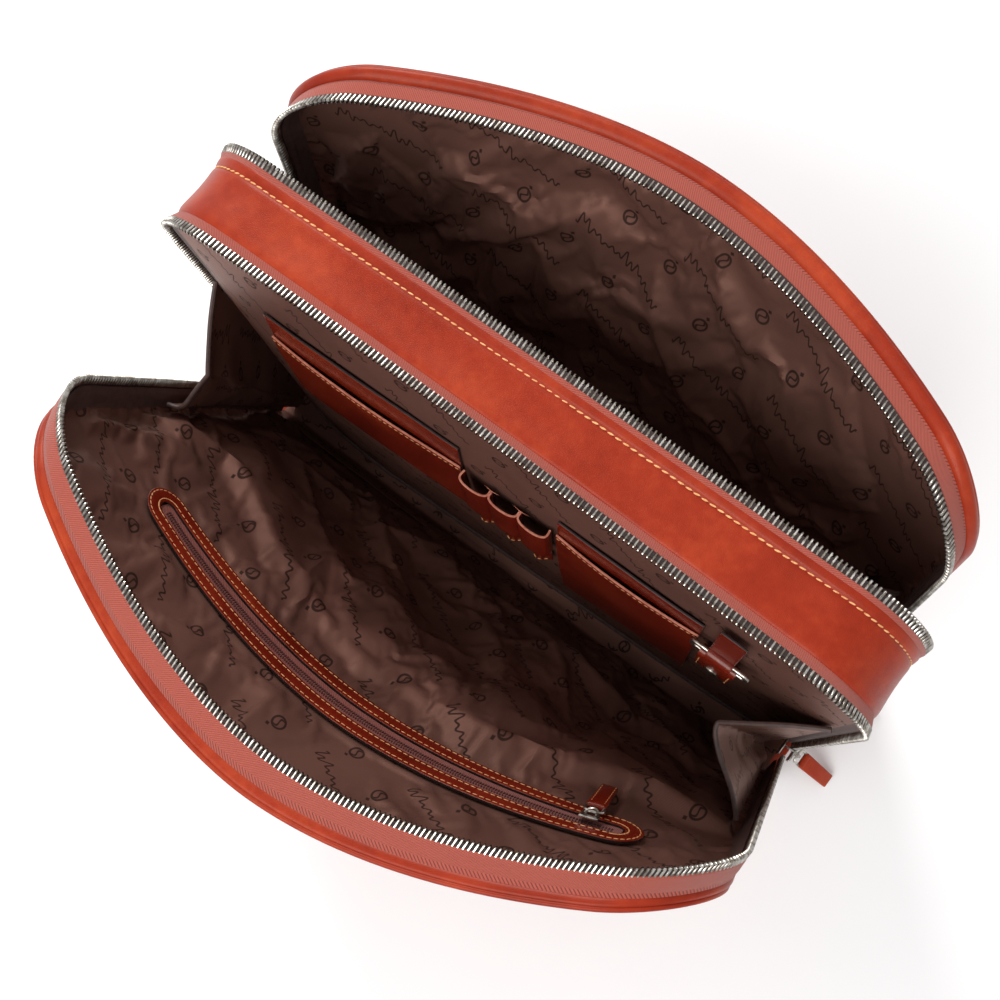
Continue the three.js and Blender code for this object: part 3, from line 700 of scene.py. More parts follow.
def pleat(along, up, line, gentle, steep):
    """Height of a fold whose crest follows the line of (along, up, height): it falls away gently
    on its left side and steeply on its right."""
    best = (1e9, 0.0, 0.0)
    for (x0, y0, h0), (x1, y1, h1) in zip(line, line[1:]):
        dx, dy = x1 - x0, y1 - y0
        t = ((along - x0) * dx + (up - y0) * dy) / (dx * dx + dy * dy)
        t = min(1.0, max(0.0, t))
        px, py = along - x0 - t * dx, up - y0 - t * dy
        away = math.hypot(px, py)
        if away < best[0]:
            best = (away, dx * py - dy * px, h0 + t * (h1 - h0))
    away, side, height = best
    return height * math.exp(-((away / (gentle if side > 0 else steep)) ** 2))


FRONT_FOLDS = [
    ([(-199, 196, 1), (-172, 172, 5), (-148, 157, 7), (-118, 166, 8), (-88, 180, 8), (-20, 188, 6),
      (60, 191, 6), (100, 186, 8), (140, 176, 9), (170, 174, 7), (195, 176, 2)][::-1], 40, 7),
    ([(-60, 20, 2), (40, 62, 6), (110, 78, 8), (178, 96, 5)][::-1], 40, 9),
    ([(-176, 60, 2), (-150, 110, 5), (-128, 160, 2)], 18, 9),
    ([(-110, 50, 2), (-84, 110, 5), (-62, 172, 2)], 22, 11),
    ([(-20, 70, 1), (0, 120, 4), (30, 178, 1)], 22, 12),
    ([(-187, 240, 2), (-176, 210, 3), (-170, 180, 1)], 9, 7),
]
REAR_FOLDS = [
    ([(-150, 60, 2), (-60, 120, 5), (10, 150, 3)], 26, 12),
    ([(20, 130, 3), (60, 160, 6), (110, 168, 4), (150, 150, 2)], 24, 11),
    ([(-60, 230, 2), (-10, 205, 4), (40, 215, 4), (80, 190, 2)], 20, 10),
    ([(90, 110, 3), (120, 140, 5), (165, 175, 2)], 18, 9),
    ([(-120, 180, 2), (-80, 205, 4), (-50, 240, 2)], 16, 8),
]


def round_pocket(along, up):
    """How far a spot of the front lining is from the pocket's frame, in millimetres."""
    beside = max(POCKET_FROM + FRAME_HALF - along, 0.0, along - POCKET_TO + FRAME_HALF)
    return max(0.0, math.hypot(beside, up - POCKET_HEIGHT) - FRAME_HALF)


def loose_lining(cover, along, up):
    """How far the lining is sewn to stand off the cover before it settles, in millimetres."""
    edge = min(from_edge(along, up, 5, COVER_HEIGHT), up - 4)
    front = cover is FRONT
    clear = smooth_step(round_pocket(along, up), 0, 12) if front else 1.0
    folds, seed, rough, bias = (FRONT_FOLDS, 3.7, 1.6, 1.0) if front else (REAR_FOLDS, 9.1, 2.4, 0.5)
    total = sum(pleat(along, up, *fold) for fold in folds) * clear * smooth_step(edge, 0, 9)
    return total + (rough * crumple(along, up, seed) + bias) * smooth_step(edge, 0, 26) * clear


def finer(points):
    """A net of points with a new one between each two, in both of its directions."""
    for axis in (0, 1):
        points = np.swapaxes(points, 0, axis)
        wider = np.concatenate([2 * points[:1] - points[1:2], points, 2 * points[-1:] - points[-2:-1]])
        between = (9 * (points[:-1] + points[1:]) - wider[:-3] - wider[3:]) / 16
        result = np.empty((2 * len(points) - 1, *points.shape[1:]))
        result[0::2], result[1::2] = points, between
        points = np.swapaxes(result, 0, axis)
    return points


def settle(columns, rows, place, held, slack):
    """A net of points, by row and column, of a cloth that is cut larger than its place by the
    share of slack and has crumpled into it. held says how firmly it is sewn down at a spot."""
    last = 20
    bm = grid(columns, rows, place)
    layer = bm.loops.layers.uv["cut"]
    bm.verts.index_update()
    spots = {}
    for face in bm.faces:
        for loop in face.loops:
            s, t = loop[layer].uv / MM
            spots[loop.vert.index] = (round(s * columns), round(t * rows))
    thing, scene = made(bm, "loose_cloth"), bpy.context.scene
    group = thing.vertex_groups.new(name="held")
    for index, (i, j) in spots.items():
        group.add([index], held(i / columns, j / rows), "REPLACE")
    cloth = thing.modifiers.new("cloth", "CLOTH")
    how = cloth.settings
    how.quality, how.mass, how.air_damping = 5, 0.2, 3.0
    how.tension_stiffness = how.compression_stiffness = 30
    how.shear_stiffness, how.bending_stiffness = 6, 0.5
    how.vertex_group_mass, how.pin_stiffness = "held", 1.0
    how.shrink_min = -slack
    how.effector_weights.gravity = 0.0
    cloth.collision_settings.use_collision = False
    cloth.point_cache.frame_start, cloth.point_cache.frame_end = 1, last
    for number in range(1, last + 1):
        scene.frame_set(number)
    hung = thing.evaluated_get(bpy.context.evaluated_depsgraph_get())
    net = np.zeros((rows + 1, columns + 1, 3))
    for vert in hung.data.vertices:
        i, j = spots[vert.index]
        net[j, i] = [c / MM for c in vert.co]
    scene.frame_set(1)
    bpy.data.objects.remove(thing)
    return net


def cut_turned(degrees, spot):
    """Place in the uncut cloth for a pattern that runs at an angle to the piece."""
    c, s = math.cos(math.radians(degrees)), math.sin(math.radians(degrees))

    def flat(a, b):
        along, up = spot(a, b)
        return along * c + up * s, up * c - along * s

    return flat


def panel_spot(s, t):
    return plate_spot(s, t, PANEL_INSET, 0.6, COVER_HEIGHT)


def lining_spot(s, t):
    return plate_spot(s, t, LINING_INSET, 5.0, COVER_HEIGHT)


def settled_lining(cover):
    """The net of points of a cover's lining, kept between the cover and the space for papers."""
    def sewn(s, t):
        along, up = lining_spot(s, t)
        edge = from_edge(along, up, LINING_INSET, COVER_HEIGHT)
        return cover.at(along, up, LINING_DEPTH - loose_lining(cover, along, up)
                        - 1.4 * (1 - smooth_step(edge, 0, 6)))

    def held(s, t):
        at_edge = min(s, 1 - s, t, 1 - t) < 0.006
        by_pocket = cover is FRONT and round_pocket(*lining_spot(s, t)) < 2.5
        return 1.0 if at_edge or by_pocket else 0.0

    net = settle(*LINING_NET, sewn, held, 0.035 if cover is FRONT else 0.05)
    for row in net:
        for k, point in enumerate(row):
            along, up, out = cover.read(point)
            row[k] = cover.at(along, up, min(LINING_DEPTH + 0.9, max(LINING_DEPTH - 15, out)))
    return finer(net)


for cover, turn in ((FRONT, 38), (REAR, -26)):
    label, rim = cover.label, cover.rim
    full = Rim(cover.at, 1.0, COVER_HEIGHT)
    roll = curve([(15.4, 3.8), (15.1, 2.2), (15.5, 1.0), (16.6, 0.1), (18.0, -0.5), (19.3, -0.35),
                  (20.2, 0.5), (20.4, 1.9)], 3)
    piece(along_rim(full, roll, 3.5, lift=lambda d, out: 0.25 * ripple((d, out), 30, 1.5)),
          label + "_rim_leather", cover.body, (COGNAC, PALE_EDGE),
          [label + "_cover_band"], thick=1.2)
    cord = [full.at(full.length * k / 300, 20.9, 0.5) for k in range(301)]
    piece(tube(cord, 1.35, 10), label + "_piping", cover.body, COGNAC,
          [label + "_cover_piping"])

    def panel(s, t, cover=cover):
        along, up = panel_spot(s, t)
        edge = from_edge(along, up, PANEL_INSET, COVER_HEIGHT)
        puff = 1.7 * smooth_step(edge, 0, 5) - 0.5 * math.exp(-((edge - SEAM_INSET) / 1.3) ** 2)
        wave = 0.35 * ripple((along, up), 55, 4.0) * smooth_step(edge, 9, 22)
        return cover.at(along, up, 20.6 + puff + wave)

    piece(grid(150, 120, panel, panel_spot),
          label + "_outer_leather", cover.body, (COGNAC, PALE_EDGE),
          [label + "_cover_panel"], thick=1.8 * cover.side)

    seam = Rim(cover.at, 8.0, COVER_HEIGHT)

    def on_seam(distance, seam=seam):
        point = seam.at(distance, SEAM_OUT, SEAM_INSET)
        return point, (seam.at(distance, 23, SEAM_INSET) - point).normalized()

    piece(stitches(on_seam, seam.length, 4.2, 3.2, 0.7, 0.5), label + "_panel_stitching", cover.body,
          THREAD)
    facing = curve([(5.0, 3.3), (6.4, 4.0), (8.0, 4.6), (12.0, 4.9), (15.0, 5.2), (17.0, 6.0)], 3)
    piece(along_rim(rim, facing, 3.5, lift=lambda d, out: 0.35 * ripple((d, out * 2), 12, 7.0)),
          label + "_facing_cloth", cover.body, SATIN_PLAIN,
          [label + "_cover_facing"], thick=0.5)

    def on_facing(distance, rim=rim):
        point = rim.at(distance, 8.2, 4.75)
        return point, (rim.at(distance, 8.2, 5.75) - point).normalized()

    piece(stitches(on_facing, rim.length, 3.0, 2.3, 0.45, 0.35), label + "_facing_stitching",
          cover.body, DARK_THREAD)

    net = settled_lining(cover)
    columns, rows = (2 * count for count in LINING_NET)
    cloth = piece(grid(columns, rows,
                       lambda s, t: Vector(net[round(t * rows), round(s * columns)]),
                       cut_turned(turn, lining_spot)),
                  label + "_lining_cloth", cover.body, SATIN,
                  [label + "_cover_lining"], thick=0.5 * cover.side)
    label + "_outer_leather"

# ---- Middle: leather band, facings, base and hinges
BAND_RIM = Rim(middle_at, 3.4, HEIGHT)
band = curve([(-12.4, 5.2), (-14.4, 4.7), (-15.3, 3.8), (-15.2, 2.9), (-14.2, 2.2), (-11.5, 1.9),
              (-6.0, 2.2), (0.0, 2.5), (6.0, 2.5), (10.8, 2.3), (BAND_STITCH_OUT, 2.95), (14.0, 2.0),
              (16.2, 1.5), (17.6, 1.6), (18.3, 2.3), (18.2, 3.0), (17.0, 3.6)], 3)
piece(along_rim(BAND_RIM, band, 3.0,
                lift=lambda d, out: (0.55 * ripple((d, out * 1.6), 34, 2.0)
                                     * smooth_step(17.5 - abs(out), 0, 5))),
      "middle_leather", "middle", (COGNAC, PALE_EDGE), ["middle_band"], thick=-1.3)


def on_band(distance):
    point = BAND_RIM.at(distance, BAND_STITCH_OUT, 2.75)
    return point, (BAND_RIM.at(distance, BAND_STITCH_OUT, 1.5) - point).normalized()


piece(stitches(on_band, BAND_RIM.length, 4.0, 3.3, 1.0, 0.8, 9), "middle_stitching", "middle",
      THREAD)
for label, side in (("front", -1), ("rear", 1)):
    strip = curve([(side * 20.6, 2.6), (side * 20.9, 4.2), (side * 20.5, 6.5), (side * 20.3, 9.5)], 3)
    piece(along_rim(MIDDLE_RIM, strip, 4.0), f"middle_{label}_facing", "middle", SATIN_PLAIN,
          thick=CLOTH * side)
roof = [(-20.0, 6.2), (-10.0, 5.4), (0.0, 5.3), (10.0, 5.4), (20.0, 6.2)]
piece(along_rim(Rim(middle_at, 8.6, HEIGHT), roof, 5.0), "middle_roof_lining", "middle", SATIN,
      ["middle_lining"], thick=CLOTH)


def divider_spot(s, t):
    return plate_spot(s, t, DIVIDER_INSET, DIVIDER_INSET, HEIGHT)


def divider(s, t):
    along, up = divider_spot(s, t)
    edge = min(from_edge(along, up, DIVIDER_INSET, HEIGHT), up - 6)
    loose = 0.9 * crumple(along, up, 21.0) * smooth_step(edge, 0, 20)
    return wall_at(along, up, 0.4 + (loose if up < 140 else loose * 0.3))


def divider_back(s, t):
    along, up = divider_spot(s, t)
    return Vector((along, -12.4 + 0.7 * crumple(along, up, 31.0) * smooth_step(up, 8, 40), up))


for label, columns, rows, face, turn, thick in (("front", 160, 120, divider, -50, -CLOTH),
                                                ("rear", 120, 90, divider_back, -30, CLOTH)):
    cloth = piece(grid(columns, rows, face, cut_turned(turn, divider_spot)),
                  f"divider_{label}_cloth", "middle", SATIN, [f"divider_{label}_lining"], thick=thick)


def floor_spot(s, t):
    return (s - 0.5) * FLOOR[0], (t - 0.5) * FLOOR[1]


def floor(s, t):
    along, across = floor_spot(s, t)
    return Vector((along, across, 6.9 + 0.5 * crumple(along, across, 41.0)))


cloth = piece(grid(140, 40, floor, cut_turned(30, floor_spot)), "floor_cloth", "middle", SATIN,
              ["floor_lining"], thick=-CLOTH)

base = box((LENGTH, 2 * HINGE_Y, 3.0), 1.2, 3)
piece(placed(base, Matrix.Translation((0, 0, 1.5))), "base_leather", "middle", COGNAC,
      ["base_panel"])
for cover in (FRONT, REAR):
    side, label = cover.side, cover.label
    bodies = ("middle", cover.body, (0, MM * side * 30, MM * 50), (0, MM * side * 48, MM * 50))
    folds = (
        ("hinge_leather", (COGNAC, PALE_EDGE), 398, (398, 14), 0.9,
         [(46.5, 0.45), (49.2, 0.9)], [(0.5, 22.5), (5.0, 22.6), (9.0, 22.4)]),
        ("floor_fold", SATIN, 391, (380, 24), CLOTH,
         [(38, 7.8), (42.0, 7.9)], [(6.0, 15.6), (12.0, 15.6), (18.0, 16.3)]),
    )
    for name, looks, width, cut, thick, on_floor, on_cover in folds:
        def fold(s, t, cover=cover, width=width, on_floor=on_floor, on_cover=on_cover):
            along = (s - 0.5) * width
            knots = [Vector((along, cover.side * away, up)) for away, up in on_floor]
            knots += [cover.at(along, up, out) for up, out in on_cover]
            return curve(knots, 3)[round(t * 12)]

        piece(grid(60, 12, fold, cut), f"{label}_{name}", bodies, looks, thick=thick * side)

welt = [wall_at(-186 + 372 * k / 90, 9.5, 1.6) for k in range(91)]
piece(tube(welt, 1.3, 8), "floor_welt", "middle", SATIN_PLAIN)


def on_welt(distance):
    along = distance - 186
    return wall_at(along, 12.5, 1.0), Vector((0, -0.9, 0.4)).normalized()


piece(stitches(on_welt, 372, 3.4, 2.6, 0.5, 0.45), "floor_welt_stitching", "middle", DARK_THREAD)

# ---- Gussets
FOLD_SHAPE = {                 # share of the way across, share of the fold's depth
    "left": [(0, 0), (0.3, 0.42), (0.58, 0.93), (0.66, 1.0), (0.84, 0.86), (0.95, 0.6), (1, 0.1)],
    "right": [(0, 0), (0.2, 0.52), (0.42, 0.96), (0.51, 1.0), (0.68, 0.74), (0.86, 0.28), (1, 0.05)],
}


def gusset(cover, end, s, t):
    """A point of a gusset: s runs from the middle to the cover, t from its foot to its hem."""
    hand = -1 if end == "left" else 1
    edge, up = HALF - GUSSET_EDGE, 5.0 + (GUSSET_TOP - 5.0) * t
    share = up / GUSSET_TOP
    inner = Vector((hand * edge, cover.side * (MID_ZIP - 1.8), up))
    outer = cover.at(hand * edge, up - HINGE_HEIGHT - 0.12 * up, 9.5)
    deep = GUSSET_FOLD[end] * (0.16 + 0.84 * share)
    knots = []
    for across, depth in FOLD_SHAPE[end]:
        knot = inner.lerp(outer, across)
        knot.x -= hand * deep * depth
        knot.z -= 3.0 * depth * share
        knots.append(knot)
    point = curve(knots, 6)[round(s * GUSSET_COLUMNS)]
    loose = math.sin(math.pi * s) * smooth_step(t, 0, 0.15)
    point.x += hand * loose * (2.6 * noise.noise(Vector((s * 4, up / 26, hand + cover.side))) - 0.4)
    point.y += loose * 2.4 * noise.noise(Vector((s * 3, up / 20, 5 + hand)))
    return point


for cover in (FRONT, REAR):
    for end, hand in (("left", -1), ("right", 1)):
        label = f"{cover.label}_gusset"
        hem, line = ([gusset(cover, end, k / GUSSET_COLUMNS, t) for k in range(GUSSET_COLUMNS + 1)]
                     for t in (1, 0.978))
        wide = sum((b - a).length for a, b in zip(hem, hem[1:]))
        ends = tuple((0, MM * cover.side * y, MM * 100) for y in (24, 46))
        bodies = ("middle", cover.body, *ends)
        cloth = piece(grid(GUSSET_COLUMNS, 72,
                           lambda s, t, cover=cover, end=end: gusset(cover, end, s, t),
                           cut_turned(80, lambda s, t, w=wide: (s * w, t * GUSSET_CUT))),
                      f"{label}_cloth_{end}", bodies, SATIN, [f"{label}_{end}"], thick=CLOTH)
        piece(tube(hem, 1.3, 8), f"{label}_hem_{end}", bodies, SATIN_PLAIN)

        def on_line(distance, line=line, wide=wide, hand=hand):
            where = min(GUSSET_COLUMNS - 0.001, max(0.0, distance / wide * GUSSET_COLUMNS))
            k = int(where)
            ahead = line[k + 1] - line[k]
            normal = Vector((-ahead.y, ahead.x, 0)).normalized()
            normal *= -hand if normal.x > 0 else hand
            return line[k].lerp(line[k + 1], where - k) + normal * 0.55, normal

        piece(stitches(on_line, wide, 3.0, 2.2, 0.45, 0.4), f"{label}_stitching_{end}",
              bodies, DARK_THREAD)

# ---- Organiser on the divider
FORWARD = Vector((0, -1, 0))


def pocket_sheet(name, spec, top, stand, lean, node, edge):
    """Makes one leather sheet of a pocket and returns the line for the thread along its top."""
    left, bottom = spec["left"], spec["bottom"]
    width = spec["right"] - left

    def spot(s, t):
        return left + width * s, bottom + (top - bottom) * t

    def place(s, t):
        along, up = spot(s, t)
        gape = lean * math.sin(math.pi * s) * smooth_step(t, 0.35, 1.0)
        return wall_at(along, up, stand + 0.6 + gape + 0.25 * ripple((along, up), 30, 3.0))

    piece(grid(40, 24, place, spot), name, "middle", (GLOSSY, edge), [node],
          thick=-1.2, bevel=0.25)

    def along_edge(distance):
        point = place(distance / width, 1 - 2.6 / (top - bottom))
        return point + Vector((0, -0.1, 0)), FORWARD

    return along_edge


for label, spec in (("card", CARD), ("phone", PHONE)):
    for layer, top, stand, lean, edge in (("back", spec["top"], FIRST_LAYER, 0.6, BLACK_EDGE),
                                          ("front", spec["front"], SECOND_LAYER, 2.2, PALE_EDGE)):
        along_edge = pocket_sheet(f"{label}_sheet_{layer}", spec, top, stand, lean,
                                  f"{label}_pocket_{layer}", edge)
        if layer == "front":
            width = spec["right"] - spec["left"]
            piece(stitches(along_edge, width, 3.2, 2.4, 0.4, 0.3, 0), f"{label}_edge_stitching",
                  "middle", THREAD, slot="glossy_leather")


pen_pitch = (PENS["right"] - PENS["left"]) / PENS["loops"]


def pen_strip(s, t):
    loop = s * PENS["loops"] % 1.0
    along = PENS["left"] + pen_pitch * (s * PENS["loops"] - 0.2 * math.sin(2 * math.pi * loop))
    up = PENS["bottom"] + (PENS["top"] - PENS["bottom"]) * t
    round_pen = (PENS["depth"] + 1.5) * math.sin(math.pi * loop) ** 0.8
    return wall_at(along, up, FIRST_LAYER + 1.2 + round_pen)


piece(grid(90, 12, pen_strip, (63, 40)), "pen_loops", "middle", (GLOSSY, PALE_EDGE),
      ["pen_loop_strip"], thick=-1.2, bevel=0.25)
for i in range(PENS["loops"]):
    middle = PENS["left"] + pen_pitch * (i + 0.5)

    def foot(s, t, middle=middle):
        along = middle + (s - 0.5) * 0.84 * pen_pitch
        up = PENS["bottom"] - 33 + 18 * t
        hump = 4.6 * math.cos(math.pi * (along - middle) / pen_pitch) ** 2
        return wall_at(along, up, FIRST_LAYER + 1.0 + hump)

    piece(grid(16, 10, foot, (16, 18)), f"pen_foot_leather_{i + 1}", "middle", (GLOSSY, BLACK_EDGE),
          [f"pen_foot_{i + 1}"], thick=-1.2, bevel=0.25)

    def foot_seam(distance, foot=foot):
        return foot(0.1 + 0.8 * distance / 13, 0.16) + FORWARD * 0.15, FORWARD

    piece(stitches(foot_seam, 13, 3.0, 2.2, 0.45, 0.35, 0), f"pen_foot_stitching_{i + 1}", "middle",
          THREAD, slot="glossy_leather")

# ---- Straps, rings and pulls
def bar_ring(centre, across, down, half, drop, corner):
    """The line of a rectangular ring with round corners, whose upper bar passes through centre."""
    corners = [(half, 0, -1, 1), (half, drop, -1, -1), (-half, drop, 1, -1), (-half, 0, 1, 1)]

    def spot(k, turn):
        a, d, towards, below = corners[k % 4]
        return (centre + across * (a + corner * (towards + math.cos(turn)))
                + down * (d + corner * (below + math.sin(turn))))

    line = []
    for k in range(4):
        line += [spot(k, math.pi / 2 * (k - 1 + i / 5)) for i in range(6)]
        last, target = line[-1], spot(k + 1, math.pi / 2 * k)
        line += [last.lerp(target, j / 4) for j in (1, 2, 3)]
    return line


def strap_pull(eye, axis, along, width, length):
    """A wire bail and the stitched leather tab on it; returns the two meshes and the thread."""
    drop = 6.6
    bail = tube(bar_ring(eye, axis, along, 4.2, drop, 1.8), 0.85, 8, True)
    normal = axis.cross(along).normalized()
    middle = eye + along * (drop - 0.2 + length / 2 - 1.6)
    tab = box((width, length, 3.0), 0.9, 3)
    for vert in tab.verts:
        vert.co.x *= 1 + 0.14 * smooth_step(-vert.co.y, -length / 2, length / 2) - 0.07
    placed(tab, basis(axis, along, normal, middle))
    loop = roller(eye + along * drop, axis, width * 0.8, 2.1, 12)
    run = length - 4

    def seam(distance):
        side = 1
        if distance > run:
            distance, side = distance - run, -1
        beside = axis * side * (width / 2 - 1.3)
        return middle + along * (distance - run / 2) + beside + normal * 1.5, normal

    return bail, joined(tab, loop), stitches(seam, 2 * run - 0.1, 2.6, 1.9, 0.4, 0.35, 0)


for label, side in (("front", -1), ("rear", 1)):
    y, z = side * (MID_ZIP + 1.0), ZIP_START + 9
    teeth_at = HALF - 1.9
    inside, outside = teeth_at - 4.0, teeth_at + 1.9
    plates = [boxed((1.4, 12.8, 12), 0.6, 2, (outside + 0.8, y, z)),
              boxed((1.0, 12.8, 12), 0.4, 2, (inside - 0.5, y, z)),
              boxed((outside - inside + 1.2, 1.2, 4), 0.3, 1, ((inside + outside) / 2, y, z + 4))]
    arch = curve([(outside + 1.2, y, z - 4), (outside + 3.6, y, z - 2.6), (outside + 4.6, y, z),
                  (outside + 3.6, y, z + 2.6), (outside + 1.2, y, z + 4)], 5)
    plates.append(tube(arch, 1.1, 8))
    piece(joined(*plates), label + "_slider_metal", label + "_zip_slider", NICKEL,
          [label + "_zip_slider"])
    lean = math.radians(52)
    bail, tab, thread = strap_pull(Vector((outside + 3.8, y, z)), Vector((0, 1, 0)),
                                   Vector((math.sin(lean), 0, -math.cos(lean))), 9.5, 27)
    body = label + "_zip_pull"
    piece(tab, label + "_pull_leather", body, (COGNAC, PALE_EDGE), [label + "_zip_pull"])
    piece(bail, label + "_pull_bail", body, NICKEL)
    piece(thread, label + "_pull_stitching", body, THREAD)

# ---- Key holder
key_at = wall_at(KEY_X, KEY_Z, 7.0)


def key_strap(s, t):
    along = KEY_X + (s - 0.5) * 13.6
    if t < 0.5:
        turn = math.pi * (1.5 - t / 0.5 * 1.2)
        return Vector((along, key_at.y + 2.8 * math.cos(turn), key_at.z + 2.8 * math.sin(turn)))
    share = (t - 0.5) / 0.5
    return wall_at(along, KEY_Z + 3 + share * 41, 5.4 - 1.4 * share)


piece(grid(8, 40, key_strap, (14, 62)), "key_strap", "middle", (GLOSSY, BLACK_EDGE),
      ["key_strap_loop"], thick=1.2, bevel=0.25)
ring = bar_ring(key_at, Vector((1, 0, 0)), Vector((0, 0, -1)), 15, 11, 2.5)
piece(tube(ring, 1.2, 10, True), "key_ring_wire", "key_ring", NICKEL, ["key_ring"])
bar = key_at - Vector((0, 0, 11))
tab = boxed((20, 6.4, 33), 1.6, 3, bar - Vector((0, 0, 16.5)))
wrap = roller(bar, Vector((1, 0, 0)), 20, 3.2)
piece(joined(tab, wrap), "key_tab_leather", "key_tab", GLOSSY, ["key_tab"])
stud = bmesh.new()
bmesh.ops.create_uvsphere(stud, u_segments=20, v_segments=12, radius=4.0)
bmesh.ops.scale(stud, vec=(1, 0.45, 1), verts=stud.verts)
piece(placed(stud, Matrix.Translation(bar + Vector((0, -3.4, -24)))), "key_tab_stud", "key_tab",
      NICKEL)


def key_seam(distance):
    side = 1 if distance < SHORT_SEAM else -1
    return bar + Vector((side * 8.3, -3.35, -4 - distance % SHORT_SEAM)), FORWARD


piece(stitches(key_seam, 2 * SHORT_SEAM - 0.1, 2.8, 2.1, 0.45, 0.35, 0), "key_tab_stitching",
      "key_tab", THREAD, slot="glossy_leather")

# ---- Welt pocket in the front cover
def stadium(share, radius):
    """A point of a long slot with round ends, a given distance from its middle line."""
    first, last = POCKET_FROM + FRAME_HALF, POCKET_TO - FRAME_HALF
    run, turn = last - first, math.pi * FRAME_HALF
    distance = share % 1.0 * 2 * (run + turn)
    if distance < run:
        return first + distance, POCKET_HEIGHT + radius
    distance -= run
    if distance < turn:
        angle = math.pi / 2 - distance / FRAME_HALF
        return last + radius * math.cos(angle), POCKET_HEIGHT + radius * math.sin(angle)
    distance -= turn
    if distance < run:
        return last - distance, POCKET_HEIGHT - radius
    angle = -math.pi / 2 - (distance - run) / FRAME_HALF
    return first + radius * math.cos(angle), POCKET_HEIGHT + radius * math.sin(angle)


STADIUM = 2 * (POCKET_TO - POCKET_FROM - 2 * FRAME_HALF + math.pi * FRAME_HALF)


def frame_at(share, across):
    """A point on the pocket's leather frame; across runs from its slot to its outer edge."""
    along, up = stadium(share, SLOT_HALF + (FRAME_HALF - SLOT_HALF) * across)
    crown = 0.55 * math.sin(math.pi * across) ** 0.5 - 0.25 * math.exp(-((across - 0.2) / 0.07) ** 2) \
        - 0.25 * math.exp(-((across - 0.8) / 0.07) ** 2)
    return FRONT.at(along, up, FRAME_DEPTH - crown)


frame_mesh = grid(320, 12, frame_at, (STADIUM, 8.5))
bmesh.ops.remove_doubles(frame_mesh, verts=frame_mesh.verts, dist=0.002)
piece(frame_mesh, "pocket_frame_leather", "front_cover", (GLOSSY, BLACK_EDGE),
      ["pocket_frame"], thick=1.9, bevel=0.3)
for name, across in (("inner", 0.2), ("outer", 0.8)):
    def frame_seam(distance, across=across):
        point = frame_at(distance / STADIUM, across)
        along, up = stadium(distance / STADIUM, 9)
        normal = (FRONT.at(along, up, 0) - FRONT.at(along, up, 5)).normalized()
        return point + normal * 0.1, normal

    piece(stitches(frame_seam, STADIUM, 3.3, 2.6, 0.6, 0.5, 5), f"pocket_{name}_stitching",
          "front_cover", THREAD, slot="glossy_leather")


def pocket_strip(s, t):
    along = POCKET_FROM + 9 + (POCKET_TO - POCKET_FROM - 18) * s
    return FRONT.at(along, POCKET_HEIGHT + (t - 0.5) * 11.2, 15.2)


piece(grid(90, 8, pocket_strip, (287, 11)), "pocket_zip_tape", "front_cover", POCKET_TAPE,
      ["pocket_zip"], thick=-0.6)
coil = bmesh.new()
bmesh.ops.create_uvsphere(coil, u_segments=6, v_segments=4, radius=0.5)
bmesh.ops.scale(coil, vec=(0.95, 2.3, 1.5), verts=coil.verts)
matrices = []
COIL_TURNS, COIL_PITCH, COIL_OUT = 205, 1.36, 14.5
for i in range(COIL_TURNS):
    along = POCKET_FROM + 14 + i * COIL_PITCH
    for hand in (-1, 1):
        point = FRONT.at(along, POCKET_HEIGHT + hand * 1.05, COIL_OUT)
        ahead = FRONT.at(along + 1, POCKET_HEIGHT + hand * 1.05, COIL_OUT) - point
        upward = (FRONT.at(along, POCKET_HEIGHT + 5, COIL_OUT) - point).normalized()
        forward = (ahead - upward * ahead.dot(upward)).normalized()
        upward = (upward + forward * 0.25 * hand).normalized()
        matrices.append(basis(forward, upward, forward.cross(upward), point))
piece(repeated(coil, matrices), "pocket_coil", "front_cover", POCKET_TAPE)


BAG = (293, 126)


def bag(s, t):
    along, up = POCKET_FROM + 6 + BAG[0] * s, 94 + BAG[1] * t
    return FRONT.at(along, up, 18.2 + 0.2 * ripple((along, up), 40, 6.0))


cloth = piece(grid(60, 30, bag, BAG), "pocket_bag_cloth", "front_cover", SATIN,
              ["pocket_bag"], thick=-0.6)

# The slider stands at the right-hand end of its zip, where the zip runs along pull_along.
pull_along = Vector((0.9285, 0.3602, 0.0898)).normalized()
pull_normal = Vector((0, 0.9703, 0.2419)).normalized()
upward = pull_normal.cross(pull_along).normalized()
eye = Vector((125.97, -119.11, 217.28))
slider = placed(box((9.5, 7.2, 2.0), 0.8, 2),
                basis(pull_along, upward, pull_normal, eye - pull_normal * 2.9))
hoop = tube([eye + pull_along * (2.6 * math.cos(a)) + pull_normal * (-1.6 + 3.0 * math.sin(a))
             for a in (math.pi * k / 10 for k in range(11))], 0.9, 8)
piece(joined(slider, hoop), "pocket_slider_metal", "pocket_slider", NICKEL, ["pocket_slider"])
fall = upward * (-1 if upward.z > 0 else 1)
lean = (fall + pull_normal * 0.16).normalized()
bail, tab, thread = strap_pull(eye, pull_along, lean, 9.0, 27)
piece(tab, "pocket_pull_leather", "pocket_pull", GLOSSY, ["pocket_pull"])
piece(bail, "pocket_pull_bail", "pocket_pull", NICKEL)
piece(thread, "pocket_pull_stitching", "pocket_pull", THREAD, slot="glossy_leather")

